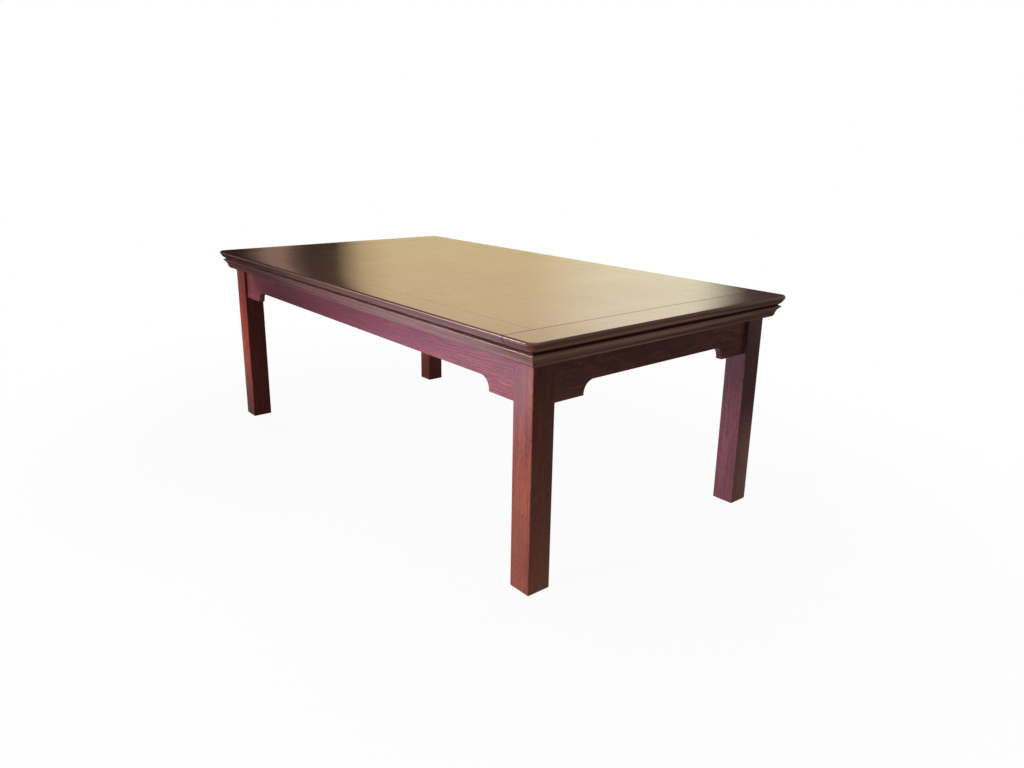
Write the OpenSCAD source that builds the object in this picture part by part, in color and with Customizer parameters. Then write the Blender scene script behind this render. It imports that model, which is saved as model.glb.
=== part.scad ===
// Dining table with an end-boarded top, a coved cornice, bracketed aprons and straight square legs.
// The origin is on the floor under the middle of the table. X runs along the table, the front long
// side faces -Y, and Z is up. All lengths are in millimetres and all angles in degrees.

/* [Overall] */
// Length of the top
table_l = 2134; // [1600:1:2600]
// Width of the top
table_w = 1168; // [900:1:1400]
// Height of the top surface above the floor
table_h = 760; // [700:1:800]

/* [Top] */
// Thickness of the top
slab_t = 32; // [28:1:40]
// Width of each end board, across the grain of the field
end_board_w = 120; // [95:1:180]
// Width of each long board beside the field
side_board_w = 110; // [90:1:180]
// Radius of the top's corners, seen from above
corner_r = 30; // [24:1:60]
// Depth of the V line along each joint of the top
v_joint = 1.5; // [0.5:0.5:2.5]
// Thickness of the loose tongues in the joints of the top
tongue_t = 10; // [6:1:12]
// Width of the loose tongues, half of it in each board
tongue_w = 30; // [20:1:40]
// Diameter of the dowels that pin the end boards' tongues
pin_d = 8; // [5:1:10]

/* [Edge of the top] */
// Radius of the rounded nose
nose_r = 8; // [5:0.5:9]
// Step in under the nose, where the lower curve begins
quirk = 1.5; // [0.5:0.5:2.5]
// Distance from the nose in to the edge of the underside
undercut = 21; // [16:1:23]

/* [Cornice] */
// Height of the cornice under the top
cornice_h = 44; // [36:1:60]
// Distance from the nose of the top in to the cornice's upper lip
lip_set = 16; // [12:1:20]
// Drop from the top's underside to the lip
lip_drop = 6; // [4:1:8]
// Distance from the nose of the top in to the cornice's foot
foot_set = 38; // [32:1:42]

/* [Legs] */
// Side of the square leg
leg_w = 81; // [74:1:110]
// Distance from the nose of the top in to the leg
overhang = 56; // [53:1:90]
// Radius of the leg's eased corners
leg_ease = 3; // [1:0.5:6]

/* [Aprons] */
// Thickness of the aprons
apron_t = 26; // [22:1:32]
// Height of the aprons between their brackets
apron_h = 126; // [110:1:160]
// Distance that the aprons stand back from the legs' faces
apron_set = 12; // [4:1:16]
// Depth of the brackets below the apron's straight edge
bracket_drop = 43; // [30:1:60]
// Length of each bracket from the leg
bracket_l = 122; // [80:1:200]
// Upright end of the bracket, below its curve
bracket_nib = 4; // [1:1:10]

/* [Leg joints] */
// Thickness of the apron tenons
tenon_t = 10; // [7:1:12]
// Length of the apron tenons
tenon_l = 40; // [25:1:44]
// Distance from the tenon to the apron's upper and lower edges
tenon_edge = 18; // [10:1:30]

/* [Corner blocks] */
// Thickness of the corner blocks
block_t = 40; // [30:1:50]
// Height of the corner blocks
block_h = 70; // [56:1:80]
// Distance from the top's underside to the corner blocks
block_top = 20; // [5:1:30]
// Distance across the flat on the leg's inner corner, measured along its sides
leg_flat = 16; // [12:1:24]
// Diameter of the corner bolts
bolt_d = 8; // [6:1:10]
// Depth of the corner bolts in the legs
bolt_grip = 45; // [30:1:50]
// Diameter of the washers
washer_d = 24; // [20:1:30]
// Thickness of the washers
washer_t = 2; // [1:0.5:3]
// Width across the flats of the nuts
nut_flats = 13; // [12:1:19]
// Height of the nuts
nut_h = 6.5; // [5:0.5:9]
// Length of the block screws
block_screw_l = 40; // [34:1:44]

/* [Bearers] */
// Number of cross bearers under the top
bearer_n = 3; // [3:1:4]
// Width of the bearers
bearer_w = 70; // [50:1:100]
// Height of the bearers
bearer_h = 30; // [26:1:40]
// Length of the stub tenons on the bearers
stub_l = 12; // [8:1:14]
// Number of screws up through each bearer
bearer_screw_n = 3; // [2:1:5]

/* [Buttons] */
// Width of the buttons, along the apron
button_w = 32; // [24:1:45]
// Length of the buttons from the apron
button_l = 60; // [50:1:75]
// Height of the buttons
button_h = 24; // [24:1:30]
// Length of the button's lip in the apron
button_lip = 9; // [6:1:12]
// Thickness of the button's lip
button_lip_t = 7; // [5:1:9]
// Number of buttons on each end apron
end_button_n = 3; // [1:1:4]

/* [Screws] */
// Diameter of the wood screws
screw_d = 4.5; // [3.5:0.5:5]
// Diameter of the screw heads
head_d = 9; // [7:0.5:9.5]
// Wood between the screw head and the joint
screw_grip = 22; // [16:1:24]
// Number of screws along the front and the back cornice
long_screw_n = 6; // [3:1:10]
// Number of screws along the left and the right cornice
short_screw_n = 4; // [2:1:6]

/* [Floor glides] */
// Diameter of the glides
glide_d = 30; // [22:1:40]
// Thickness of the glides
glide_t = 4; // [3:0.5:6]
// Height of the glide that shows under the leg
glide_show = 1; // [0.5:0.5:2]
// Diameter of the glide's nail
nail_d = 3; // [2:0.5:4]
// Length of the glide's nail
nail_l = 18; // [10:1:25]

/* [Hidden] */

// Smoothness of the turned shapes
$fn = 48;
// Clearance on each side of a wooden joint
fit = 0.15;
// Clearance round a screw, a pin or a nail
hole_fit = 0.1;
// Play between the cornice and the legs
cornice_gap = 0.5;
// Extra depth of a blind hole or groove past the piece in it
end_play = 1;
// Overrun of a cut past the face that it opens on
over = 1;

// Half of the length and of the width of the top
half_l = table_l / 2;
half_w = table_w / 2;
// Height of the top's underside, on which the frame bears
under_z = table_h - slab_t;
// Places of the joint lines of the top, from its middle
end_joint = half_l - end_board_w;
side_joint = half_w - side_board_w;
// Place of the inner faces of the legs, from the middle
leg_in_x = half_l - overhang - leg_w;
leg_in_y = half_w - overhang - leg_w;
// Distance from the nose of the top in to the apron's inner face
apron_in = overhang + apron_set + apron_t;
// Half of the length and of the width inside the aprons
inner_l = half_l - apron_in;
inner_w = half_w - apron_in;
// Heights of the apron's straight lower edge and of the brackets' lower edge
apron_z = under_z - apron_h;
bracket_z = apron_z - bracket_drop;

// Angle that the nose turns on below its widest point
nose_turn = 45;
// Fall of the quirk
quirk_fall = 0.5;
// Bulge of the curve under the nose
ovolo_bulge = 2.5;
// Gap of shadow between the top and the cornice's lip
shadow_set = 3;
shadow_h = 2;
// Edge of the lip, and the step in under it
lip_edge = 2;
lip_step = 2.5;
// Bulge of the lip's upper face, and hollow of the cove
lip_bulge = 0.8;
cove_hollow = 2.5;
// Size and bulge of the rounded foot of the cornice
foot_h = 9;
foot_in = 8;
foot_bulge = 2.5;

// Stop of the long tongues short of the end boards
tongue_stop = 40;
// Stop of the end boards' tongues short of the sides
end_tongue_stop = 60;
// Number of dowels in each end board, and wood left above them
pin_n = 3;
pin_cover = 6;

// Bite of the upright screws in the top, clear of the tongues
top_bite = (slab_t - tongue_t) / 2 - 1.5;
top_screw_l = screw_grip + top_bite;
// Height of a countersunk head, and length of a screw's point
head_h = 2.5;
point_l = 4;
// Distance from the nose in to the cornice screws, in the middle of the flat underside
cornice_screw_in = (foot_set + overhang - cornice_gap) / 2;
// Distance from the corners to the first cornice screws
cornice_screw_end = 150;
// Depth of the holes that lead to the cornice screws' heads
cornice_access = cornice_h - screw_grip;

// Corner of the leg inside the aprons, from their inner faces
leg_corner = leg_w - apron_set - apron_t;
// Space between the leg's untouched corner and the block
block_gap = 4;
// Places of the block's two long faces along an apron
block_near = 2 * leg_corner + block_gap;
block_far = block_near + block_t * sqrt(2);
// Middle height of the corner blocks
block_z = under_z - block_top - block_h / 2;
// Place of the block screws along the apron, their spread and the wood under their heads
block_screw_in = block_near + 14;
block_screw_rise = 20;
block_screw_grip = 25;
// Place of the bolt's tip, its length and the thread that shows past the nut
bolt_tip = leg_corner - leg_flat / 2 - bolt_grip / sqrt(2);
bolt_show = 6;
bolt_l = (block_far / 2 - bolt_tip) * sqrt(2) + washer_t + nut_h + bolt_show;
// Play of the bolt in the block and of the washer on the bolt
bolt_play = 0.5;
// Height of the flat on the leg's inner corner, past the block on both sides
flat_over = 12;

// Spacing of the bearers, with the buttons halfway between them
bearer_pitch = 2 * inner_l / (bearer_n + 1);
// Shoulder round the bearers' stub tenons
stub_edge = 5;
// Inset of the outer bearer screws from the aprons
bearer_screw_end = 120;
// Spacing of the buttons on the end aprons
button_pitch = 2 * inner_w / (end_button_n + 1);
// Distance from the top's underside to the button's lip
lip_top = 12;
// Place of the button's screw, from the apron
button_screw_in = 40;
// Sideways play of the button's lip in its slot
slot_play = 3;

// Chamfer round the foot of the glide
glide_edge = 1;

// Colours of the dark stained wood, the plain inner wood, the steel and the plastic
top_wood = [0.36, 0.20, 0.14];
frame_wood = [0.34, 0.15, 0.12];
cornice_wood = [0.30, 0.13, 0.10];
inner_wood = [0.72, 0.55, 0.36];
steel = [0.72, 0.72, 0.70];
plastic = [0.85, 0.83, 0.78];

// Points of an arc from p to q that rises by bulge to the left of the way from p to q
function bow(p, q, bulge, steps) =
    let (way = q - p, span = norm(way), along = way / span, left = [-along[1], along[0]],
        high = abs(bulge), r = (span * span / 4 + high * high) / (2 * high), half = asin(span / 2 / r))
    [for (i = [0:steps]) let (a = half * (2 * i / steps - 1))
        (p + q) / 2 + along * r * sin(a) + left * sign(bulge) * (r * cos(a) - r + high)];

// Outline of the top's edge, as distances in from the nose and down from the top surface
function nose_points(steps = 9) =
    [for (i = [0:steps]) let (a = 90 - i * (90 + nose_turn) / steps)
        nose_r * [1 - cos(a), 1 - sin(a)]];
nose_end = nose_r * [1 - cos(nose_turn), 1 + sin(nose_turn)];
edge_points = concat(nose_points(),
    bow(nose_end + [quirk, quirk_fall], [undercut, slab_t], ovolo_bulge, 6));

// Outline of the cornice, in the same measures as the top's edge
lip_point = [lip_set, slab_t + lip_drop];
cove_start = lip_point + [lip_step, lip_edge + 1];
cove_end = [foot_set - foot_in, slab_t + cornice_h - foot_h];
foot_point = [foot_set, slab_t + cornice_h];
cornice_points = concat([[overhang - cornice_gap, slab_t], [undercut + shadow_set, slab_t]],
    bow([undercut + shadow_set, slab_t + shadow_h], lip_point, -lip_bulge, 3),
    [lip_point + [0, lip_edge]],
    bow(cove_start, cove_end, -cove_hollow, 6),
    bow(cove_end + [1, 1], foot_point, foot_bulge, 5),
    [[overhang - cornice_gap, slab_t + cornice_h]]);

// Points of a square with rounded corners
function eased_square(side, r, steps = 4) =
    [for (turn = [0:3]) for (i = [0:steps])
        let (a = 90 * (turn + i / steps), c = side / 2 - r, s = [[1, 1], [-1, 1], [-1, -1], [1, -1]][turn])
        [s[0] * c + r * cos(a), s[1] * c + r * sin(a)]];

// Countersunk wood screw, its head on the ground and its point up
module screw(l) {
    rotate_extrude()
        polygon([[0, 0], [head_d / 2, 0], [screw_d / 2, head_h], [screw_d / 2, l - point_l], [0, l]]);
}

// Room for a screw of length l, with a hole of length access that leads to its head
module screw_room(l, access) {
    head = head_d / 2 + hole_fit;
    shank = screw_d / 2 + hole_fit;
    rotate_extrude()
        polygon([[0, -access], [head, -access], [head, 0], [shank, head_h],
            [shank, l + end_play], [0, l + end_play]]);
}

// The four mirror images of one corner's pieces
module each_corner() {
    children();
    mirror([1, 0, 0]) children();
    mirror([0, 1, 0]) children();
    mirror([1, 0, 0]) mirror([0, 1, 0]) children();
}

// Places of count pieces along a line of length span, centred on the origin
module spread_out(count, span) {
    for (i = [0:count - 1])
        translate([span * (i / (count - 1) - 0.5), 0, 0]) children();
}

// Heads of the front cornice screws
module front_screw_places() {
    translate([0, cornice_screw_in - half_w, under_z - screw_grip])
        spread_out(long_screw_n, table_l - 2 * cornice_screw_end) children();
}

// Heads of the right cornice screws
module right_screw_places() {
    translate([half_l - cornice_screw_in, 0, under_z - screw_grip])
        rotate([0, 0, 90])
        spread_out(short_screw_n, table_w - 2 * cornice_screw_end) children();
}

// Heads of all the cornice screws
module cornice_screw_places() {
    front_screw_places() children();
    mirror([0, 1, 0]) front_screw_places() children();
    right_screw_places() children();
    mirror([1, 0, 0]) right_screw_places() children();
}

// Heads of one bearer's screws, the bearer lying across the middle of the table
module one_bearer_screw_places() {
    translate([0, 0, under_z - screw_grip])
        rotate([0, 0, 90])
        spread_out(bearer_screw_n, 2 * (inner_w - bearer_screw_end)) children();
}

// Places of the bearers along the table
module bearer_places() {
    for (i = [1:bearer_n])
        translate([i * bearer_pitch - inner_l, 0, 0]) children();
}

// Places of the buttons along a front or back apron, halfway between the bearers
module long_button_places() {
    for (i = [0:bearer_n])
        translate([(i + 0.5) * bearer_pitch - inner_l, 0, 0]) children();
}

// Places of the buttons along an end apron
module short_button_places() {
    for (i = [1:end_button_n])
        translate([i * button_pitch - inner_w, 0, 0]) children();
}

// Places of all the buttons, each with the apron's inner face at its own y = 0
module button_places() {
    translate([0, -inner_w, 0]) long_button_places() children();
    mirror([0, 1, 0]) translate([0, -inner_w, 0]) long_button_places() children();
    translate([inner_l, 0, 0]) rotate([0, 0, 90]) short_button_places() children();
    mirror([1, 0, 0]) translate([inner_l, 0, 0]) rotate([0, 0, 90]) short_button_places() children();
}

// Head of a button's screw
module button_screw_place() {
    translate([0, button_screw_in, under_z - screw_grip]) children();
}

// Places of the dowels in the right end board
module right_pin_places() {
    translate([end_joint + tongue_w / 4, 0, under_z])
        rotate([0, 0, 90])
        spread_out(pin_n, 2 * (side_joint - tongue_stop)) children();
}

// Dowel from the top's underside, with its length and radius enlarged by the given amounts
module pin(longer = 0, wider = 0) {
    translate([0, 0, -longer])
        cylinder(h = slab_t - pin_cover + 2 * longer, d = pin_d + 2 * wider);
}

// V lines over the joints of the top
module v_lines() {
    side = v_joint * sqrt(2);
    for (s = [-1, 1]) {
        translate([0, s * side_joint, table_h])
            rotate([45, 0, 0]) cube([2 * end_joint, side, side], center = true);
        translate([s * end_joint, 0, table_h])
            rotate([0, 45, 0]) cube([side, table_w + 2 * over, side], center = true);
    }
}

// Long tongue of the front joint, or its groove with play on every side
module front_tongue(play = 0, extra = 0) {
    translate([0, -side_joint, under_z + slab_t / 2])
        cube([2 * (end_joint - tongue_stop + extra), tongue_w + 2 * extra, tongue_t + 2 * play],
            center = true);
}

// Tongue of the right end board, or its groove with play on every side
module right_tongue(play = 0, extra = 0) {
    translate([end_joint, 0, under_z + slab_t / 2])
        cube([tongue_w + 2 * extra, 2 * (half_w - end_tongue_stop + extra), tongue_t + 2 * play],
            center = true);
}

// Everything that is cut out of the boards of the top
module top_cuts() {
    v_lines();
    for (m = [0, 1]) {
        mirror([0, m, 0]) front_tongue(fit, end_play);
        mirror([m, 0, 0]) right_tongue(fit, end_play);
        mirror([m, 0, 0]) right_pin_places() pin(over, hole_fit);
    }
    cornice_screw_places() screw_room(top_screw_l, 0);
    bearer_places() one_bearer_screw_places() screw_room(top_screw_l, 0);
    button_places() button_screw_place() screw_room(top_screw_l, 0);
}

// Middle panel of the top
module top_field() {
    color(top_wood) difference() {
        translate([-end_joint, -side_joint, under_z])
            cube([2 * end_joint, 2 * side_joint, slab_t]);
        top_cuts();
    }
}

// Long board along the front of the top
module top_side_front() {
    outline = concat([[-side_joint, -slab_t], [-side_joint, 0]],
        [for (p = edge_points) [p[0] - half_w, -p[1]]]);
    color(top_wood) difference() {
        translate([-end_joint, 0, table_h])
            rotate([90, 0, 90]) linear_extrude(2 * end_joint) polygon(outline);
        top_cuts();
    }
}

module top_side_back() {
    mirror([0, 1, 0]) top_side_front();
}

// End board of the top, with two rounded corners
module top_end_right() {
    straight_l = half_l - corner_r;
    straight_w = half_w - corner_r;
    across = concat([for (p = edge_points) [half_w - p[0], -p[1]]],
        [for (i = [len(edge_points) - 1:-1:0]) let (p = edge_points[i]) [p[0] - half_w, -p[1]]]);
    outward = concat([[0, -slab_t], [0, 0]], [for (p = edge_points) [corner_r - p[0], -p[1]]]);
    color(top_wood) difference() {
        translate([0, 0, table_h]) union() {
            translate([end_joint, 0, 0])
                rotate([90, 0, 90]) linear_extrude(straight_l - end_joint) polygon(across);
            translate([straight_l, straight_w, 0])
                rotate([90, 0, 0]) linear_extrude(2 * straight_w) polygon(outward);
            for (m = [0, 1])
                mirror([0, m, 0]) translate([straight_l, straight_w, 0])
                    rotate_extrude(angle = 90) polygon(outward);
        }
        top_cuts();
    }
}

module top_end_left() {
    mirror([1, 0, 0]) top_end_right();
}

module tongue_front() {
    color(inner_wood) front_tongue();
}

module tongue_back() {
    mirror([0, 1, 0]) tongue_front();
}

module tongue_right() {
    color(inner_wood) difference() {
        right_tongue();
        right_pin_places() pin(over, hole_fit);
    }
}

module tongue_left() {
    mirror([1, 0, 0]) tongue_right();
}

module end_pins() {
    color(inner_wood) for (m = [0, 1])
        mirror([m, 0, 0]) right_pin_places() pin();
}

// Cornice along the front of a top of half length l and half width w, mitred at both ends
module cornice_run(l, w) {
    cut = 2 * overhang;
    difference() {
        translate([-l, 0, table_h])
            rotate([90, 0, 90]) linear_extrude(2 * l)
            polygon([for (p = cornice_points) [p[0] - w, -p[1]]]);
        for (m = [0, 1])
            mirror([m, 0, 0]) translate([l, -w, under_z - cornice_h - over])
                rotate([0, 0, 45]) translate([0, -cut, 0])
                cube([cut, 2 * cut, cornice_h + 2 * over]);
    }
}

module cornice_front() {
    color(cornice_wood) difference() {
        cornice_run(half_l, half_w);
        front_screw_places() screw_room(top_screw_l, cornice_access + over);
    }
}

module cornice_back() {
    mirror([0, 1, 0]) cornice_front();
}

module cornice_right() {
    color(cornice_wood) difference() {
        rotate([0, 0, 90]) cornice_run(half_w, half_l);
        right_screw_places() screw_room(top_screw_l, cornice_access + over);
    }
}

module cornice_left() {
    mirror([1, 0, 0]) cornice_right();
}

module cornice_screws() {
    color(steel) cornice_screw_places() screw(top_screw_l);
}

// Opening under the straight edge of an apron of half length l, with rounded upper corners
module apron_arch(l) {
    r = bracket_drop - bracket_nib;
    half_open = l - bracket_l;
    deep = apron_t + 2 * over;
    translate([-half_open, -deep / 2, bracket_z - over])
        cube([2 * half_open, deep, bracket_nib + over]);
    translate([r - half_open, -deep / 2, bracket_z - over])
        cube([2 * (half_open - r), deep, bracket_drop + over]);
    for (s = [-1, 1])
        translate([s * (half_open - r), deep / 2, apron_z - r])
            rotate([90, 0, 0]) cylinder(h = deep, r = r);
}

// Apron of half length l between the legs and half length inner between the other aprons.
// It lies along X with its outer face at -Y, and each child is cut from it.
module apron(l, inner) {
    tenon_z = bracket_z + tenon_edge;
    tenon_h = under_z - tenon_edge - tenon_z;
    difference() {
        union() {
            translate([-l, -apron_t / 2, bracket_z])
                cube([2 * l, apron_t, apron_h + bracket_drop]);
            translate([-l - tenon_l, -tenon_t / 2, tenon_z])
                cube([2 * (l + tenon_l), tenon_t, tenon_h]);
        }
        apron_arch(l);
        for (s = [-1, 1]) for (rise = [-1, 1])
            translate([s * (inner - block_screw_in), apron_t / 2 + block_screw_grip,
                    block_z + rise * block_screw_rise])
                rotate([90, 0, 0]) screw_room(block_screw_l, 0);
        children();
    }
}

// Slot in an apron for a button's lip, open on the apron's inner face
module button_slot() {
    translate([-button_w / 2 - slot_play, apron_t / 2 - button_lip - end_play,
            under_z - lip_top - button_lip_t - fit])
        cube([button_w + 2 * slot_play, button_lip + end_play + over, button_lip_t + 2 * fit]);
}

// Stub tenon at the front end of a bearer, or its mortise with play on every side
module stub(play = 0, extra = 0) {
    w = bearer_w - 2 * stub_edge + 2 * play;
    translate([-w / 2, -inner_w - stub_l - extra, under_z - bearer_h + stub_edge - play])
        cube([w, stub_l + over + extra, bearer_h - 2 * stub_edge + 2 * play]);
}

module apron_front() {
    apron_y = inner_w + apron_t / 2;
    color(frame_wood) translate([0, -apron_y, 0]) apron(leg_in_x, inner_l) {
        long_button_places() button_slot();
        translate([0, apron_y, 0]) bearer_places() stub(fit, end_play);
    }
}

module apron_back() {
    mirror([0, 1, 0]) apron_front();
}

module apron_right() {
    color(frame_wood) translate([inner_l + apron_t / 2, 0, 0])
        rotate([0, 0, 90]) apron(leg_in_y, inner_w)
        short_button_places() button_slot();
}

module apron_left() {
    mirror([1, 0, 0]) apron_right();
}

// Mortise for the front apron's tenon, in a leg whose middle is the origin
module leg_mortise() {
    wide = tenon_t + 2 * fit;
    from_z = bracket_z + tenon_edge - fit;
    to_z = under_z - tenon_edge + fit;
    translate([-leg_w / 2 - over, apron_set + (apron_t - leg_w - wide) / 2, from_z])
        cube([over + tenon_l + end_play, wide, to_z - from_z]);
}

// Things on the diagonal line of a corner bolt, along which their own Z runs from the leg inwards.
// The origin is the corner where the inner faces of the front and right aprons would meet, with X
// inwards along the front apron.
module on_bolt_line(place) {
    translate([place, place, block_z]) rotate([0, 0, 45]) rotate([0, 90, 0]) children();
}

// Pieces set out from the inner faces of the front and right aprons
module from_aprons() {
    translate([inner_l, -inner_w, 0]) mirror([1, 0, 0]) children();
}

module leg_front_right() {
    middle = overhang + leg_w / 2;
    flat_h = block_h + 2 * flat_over;
    color(frame_wood) difference() {
        translate([half_l - middle, middle - half_w, 0]) difference() {
            translate([0, 0, glide_show])
                linear_extrude(under_z - glide_show) polygon(eased_square(leg_w, leg_ease));
            leg_mortise();
            mirror([1, 1, 0]) leg_mortise();
            translate([0, 0, glide_show - over])
                cylinder(h = glide_t - glide_show + over, d = glide_d + 2 * hole_fit);
            cylinder(h = glide_t + nail_l + end_play, d = nail_d + 2 * hole_fit);
        }
        from_aprons() {
            on_bolt_line(leg_corner - leg_flat / 2)
                translate([-flat_h / 2, -leg_w / 2, 0]) cube([flat_h, leg_w, leg_w]);
            on_bolt_line(bolt_tip - end_play)
                cylinder(h = bolt_l, d = bolt_d + 2 * hole_fit);
        }
    }
}

module leg_front_left() {
    mirror([1, 0, 0]) leg_front_right();
}

module leg_back_right() {
    mirror([0, 1, 0]) leg_front_right();
}

module leg_back_left() {
    mirror([1, 0, 0]) leg_back_right();
}

// Head of one of a block's screws, on the side that faces the right apron
module block_screw_place(rise) {
    translate([block_screw_grip, block_screw_in, block_z + rise * block_screw_rise])
        rotate([0, -90, 0]) children();
}

// Heads of the four screws of one corner block
module block_screw_places() {
    for (rise = [-1, 1]) {
        block_screw_place(rise) children();
        mirror([-1, 1, 0]) block_screw_place(rise) children();
    }
}

module corner_block_front_right() {
    plan = [[0, block_near], [0, block_far], [block_far, 0], [block_near, 0]];
    color(inner_wood) from_aprons() difference() {
        translate([0, 0, block_z - block_h / 2]) linear_extrude(block_h) polygon(plan);
        on_bolt_line(bolt_tip) cylinder(h = bolt_l, d = bolt_d + 2 * bolt_play);
        block_screw_places() screw_room(block_screw_l, block_far);
    }
}

module corner_block_front_left() {
    mirror([1, 0, 0]) corner_block_front_right();
}

module corner_block_back_right() {
    mirror([0, 1, 0]) corner_block_front_right();
}

module corner_block_back_left() {
    mirror([1, 0, 0]) corner_block_back_right();
}

module corner_bolts() {
    color(steel) each_corner() from_aprons() on_bolt_line(bolt_tip)
        rotate_extrude() polygon([[0, 0], [bolt_d / 2, point_l], [bolt_d / 2, bolt_l], [0, bolt_l]]);
}

module bolt_washers() {
    color(steel) each_corner() from_aprons() on_bolt_line(block_far / 2)
        difference() {
            cylinder(h = washer_t, d = washer_d);
            translate([0, 0, -over]) cylinder(h = washer_t + 2 * over, d = bolt_d + 2 * bolt_play);
        }
}

module bolt_nuts() {
    color(steel) each_corner() from_aprons() on_bolt_line(block_far / 2)
        translate([0, 0, washer_t]) difference() {
            cylinder(h = nut_h, d = nut_flats / cos(30), $fn = 6);
            translate([0, 0, -over]) cylinder(h = nut_h + 2 * over, d = bolt_d + 2 * hole_fit);
        }
}

module block_screws() {
    color(steel) each_corner() from_aprons() block_screw_places() screw(block_screw_l);
}

// Cross bearer in the middle of the table
module bearer() {
    difference() {
        union() {
            translate([-bearer_w / 2, -inner_w, under_z - bearer_h])
                cube([bearer_w, 2 * inner_w, bearer_h]);
            stub();
            mirror([0, 1, 0]) stub();
        }
        one_bearer_screw_places() screw_room(top_screw_l, bearer_h);
    }
}

// Bearer number i, counted from the left
module bearer_number(i) {
    color(inner_wood) translate([i * bearer_pitch - inner_l, 0, 0]) bearer();
}

module bearer_left() {
    bearer_number(1);
}

// The bearers between the outer two
module bearer_middle() {
    for (i = [2:1:bearer_n - 1]) bearer_number(i);
}

module bearer_right() {
    bearer_number(bearer_n);
}

module bearer_screws() {
    color(steel) bearer_places() one_bearer_screw_places() screw(top_screw_l);
}

module table_buttons() {
    color(inner_wood) button_places() difference() {
        union() {
            translate([-button_w / 2, 0, under_z - button_h]) cube([button_w, button_l, button_h]);
            translate([-button_w / 2, -button_lip, under_z - lip_top - button_lip_t])
                cube([button_w, button_lip + over, button_lip_t]);
        }
        button_screw_place() screw_room(top_screw_l, button_h);
    }
}

module button_screws() {
    color(steel) button_places() button_screw_place() screw(top_screw_l);
}

// Floor glide in the end of a leg, with its nail
module glide_front_right() {
    middle = overhang + leg_w / 2;
    color(plastic) translate([half_l - middle, middle - half_w, 0])
        rotate_extrude() polygon([[0, 0], [glide_d / 2 - glide_edge, 0], [glide_d / 2, glide_edge],
            [glide_d / 2, glide_t], [nail_d / 2, glide_t], [nail_d / 2, glide_t + nail_l - nail_d],
            [0, glide_t + nail_l]]);
}

module glide_front_left() {
    mirror([1, 0, 0]) glide_front_right();
}

module glide_back_right() {
    mirror([0, 1, 0]) glide_front_right();
}

module glide_back_left() {
    mirror([1, 0, 0]) glide_back_right();
}

top_field();
top_side_front();
top_side_back();
top_end_left();
top_end_right();
tongue_front();
tongue_back();
tongue_left();
tongue_right();
end_pins();
cornice_front();
cornice_back();
cornice_left();
cornice_right();
cornice_screws();
apron_front();
apron_back();
apron_left();
apron_right();
leg_front_left();
leg_front_right();
leg_back_left();
leg_back_right();
corner_block_front_left();
corner_block_front_right();
corner_block_back_left();
corner_block_back_right();
corner_bolts();
bolt_washers();
bolt_nuts();
block_screws();
bearer_left();
bearer_middle();
bearer_right();
bearer_screws();
table_buttons();
button_screws();
glide_front_left();
glide_front_right();
glide_back_left();
glide_back_right();
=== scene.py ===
from math import asin, copysign, cos, pi, radians, sin, sqrt, tau

import bmesh
import bpy
from mathutils import Matrix, Vector


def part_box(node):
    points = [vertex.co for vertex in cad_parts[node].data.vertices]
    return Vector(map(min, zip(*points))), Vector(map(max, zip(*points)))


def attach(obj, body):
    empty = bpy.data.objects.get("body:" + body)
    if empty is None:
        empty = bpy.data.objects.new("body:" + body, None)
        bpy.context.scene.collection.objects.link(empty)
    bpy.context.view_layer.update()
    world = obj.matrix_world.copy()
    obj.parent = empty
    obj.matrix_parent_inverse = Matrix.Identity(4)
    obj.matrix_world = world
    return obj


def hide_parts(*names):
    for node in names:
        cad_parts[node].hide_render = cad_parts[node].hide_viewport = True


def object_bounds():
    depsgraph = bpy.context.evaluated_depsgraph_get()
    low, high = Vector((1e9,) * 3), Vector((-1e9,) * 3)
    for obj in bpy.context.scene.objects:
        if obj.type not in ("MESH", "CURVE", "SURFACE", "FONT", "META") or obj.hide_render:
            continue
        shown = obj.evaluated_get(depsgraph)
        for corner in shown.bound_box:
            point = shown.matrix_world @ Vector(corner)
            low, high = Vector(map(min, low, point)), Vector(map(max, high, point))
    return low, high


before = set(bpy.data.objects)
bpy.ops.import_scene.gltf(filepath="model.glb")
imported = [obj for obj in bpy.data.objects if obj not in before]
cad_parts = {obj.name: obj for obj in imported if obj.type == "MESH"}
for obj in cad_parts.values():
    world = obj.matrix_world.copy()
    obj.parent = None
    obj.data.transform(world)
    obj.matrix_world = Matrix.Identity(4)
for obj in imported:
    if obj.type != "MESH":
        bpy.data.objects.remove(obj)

cad_low, cad_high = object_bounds()

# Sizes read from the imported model, in metres
half_l, half_w, top_z = cad_high
under_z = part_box("top_field")[0].z
end_joint, side_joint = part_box("top_field")[1].x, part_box("top_field")[1].y
cornice_low, cornice_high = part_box("cornice_front")
leg_low, leg_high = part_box("leg_front_right")
leg_w = leg_high.x - leg_low.x
overhang = half_l - leg_high.x
front_low, front_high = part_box("apron_front")
side_low, side_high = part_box("apron_right")
apron_t = side_high.x - side_low.x
inner_l, inner_w = side_low.x, -front_high.y
block_low, block_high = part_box("corner_block_front_right")

# Shape of the top's edge: nose radius, angle it turns on below its widest point, step, lower curve
NOSE_R = 0.008
NOSE_TURN = radians(45)
QUIRK = Vector((0.0015, 0.0005))
UNDERCUT = 0.021
OVOLO_BULGE = 0.0025
STEP_DEPTH = NOSE_R * (1 + sin(NOSE_TURN)) + QUIRK.y / 2
CORNER_R = 0.030
# Depth of the V lines over the joints, and the narrower half width of the two long ones
V_DEPTH = 0.0015
SIDE_V = 0.0007

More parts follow.
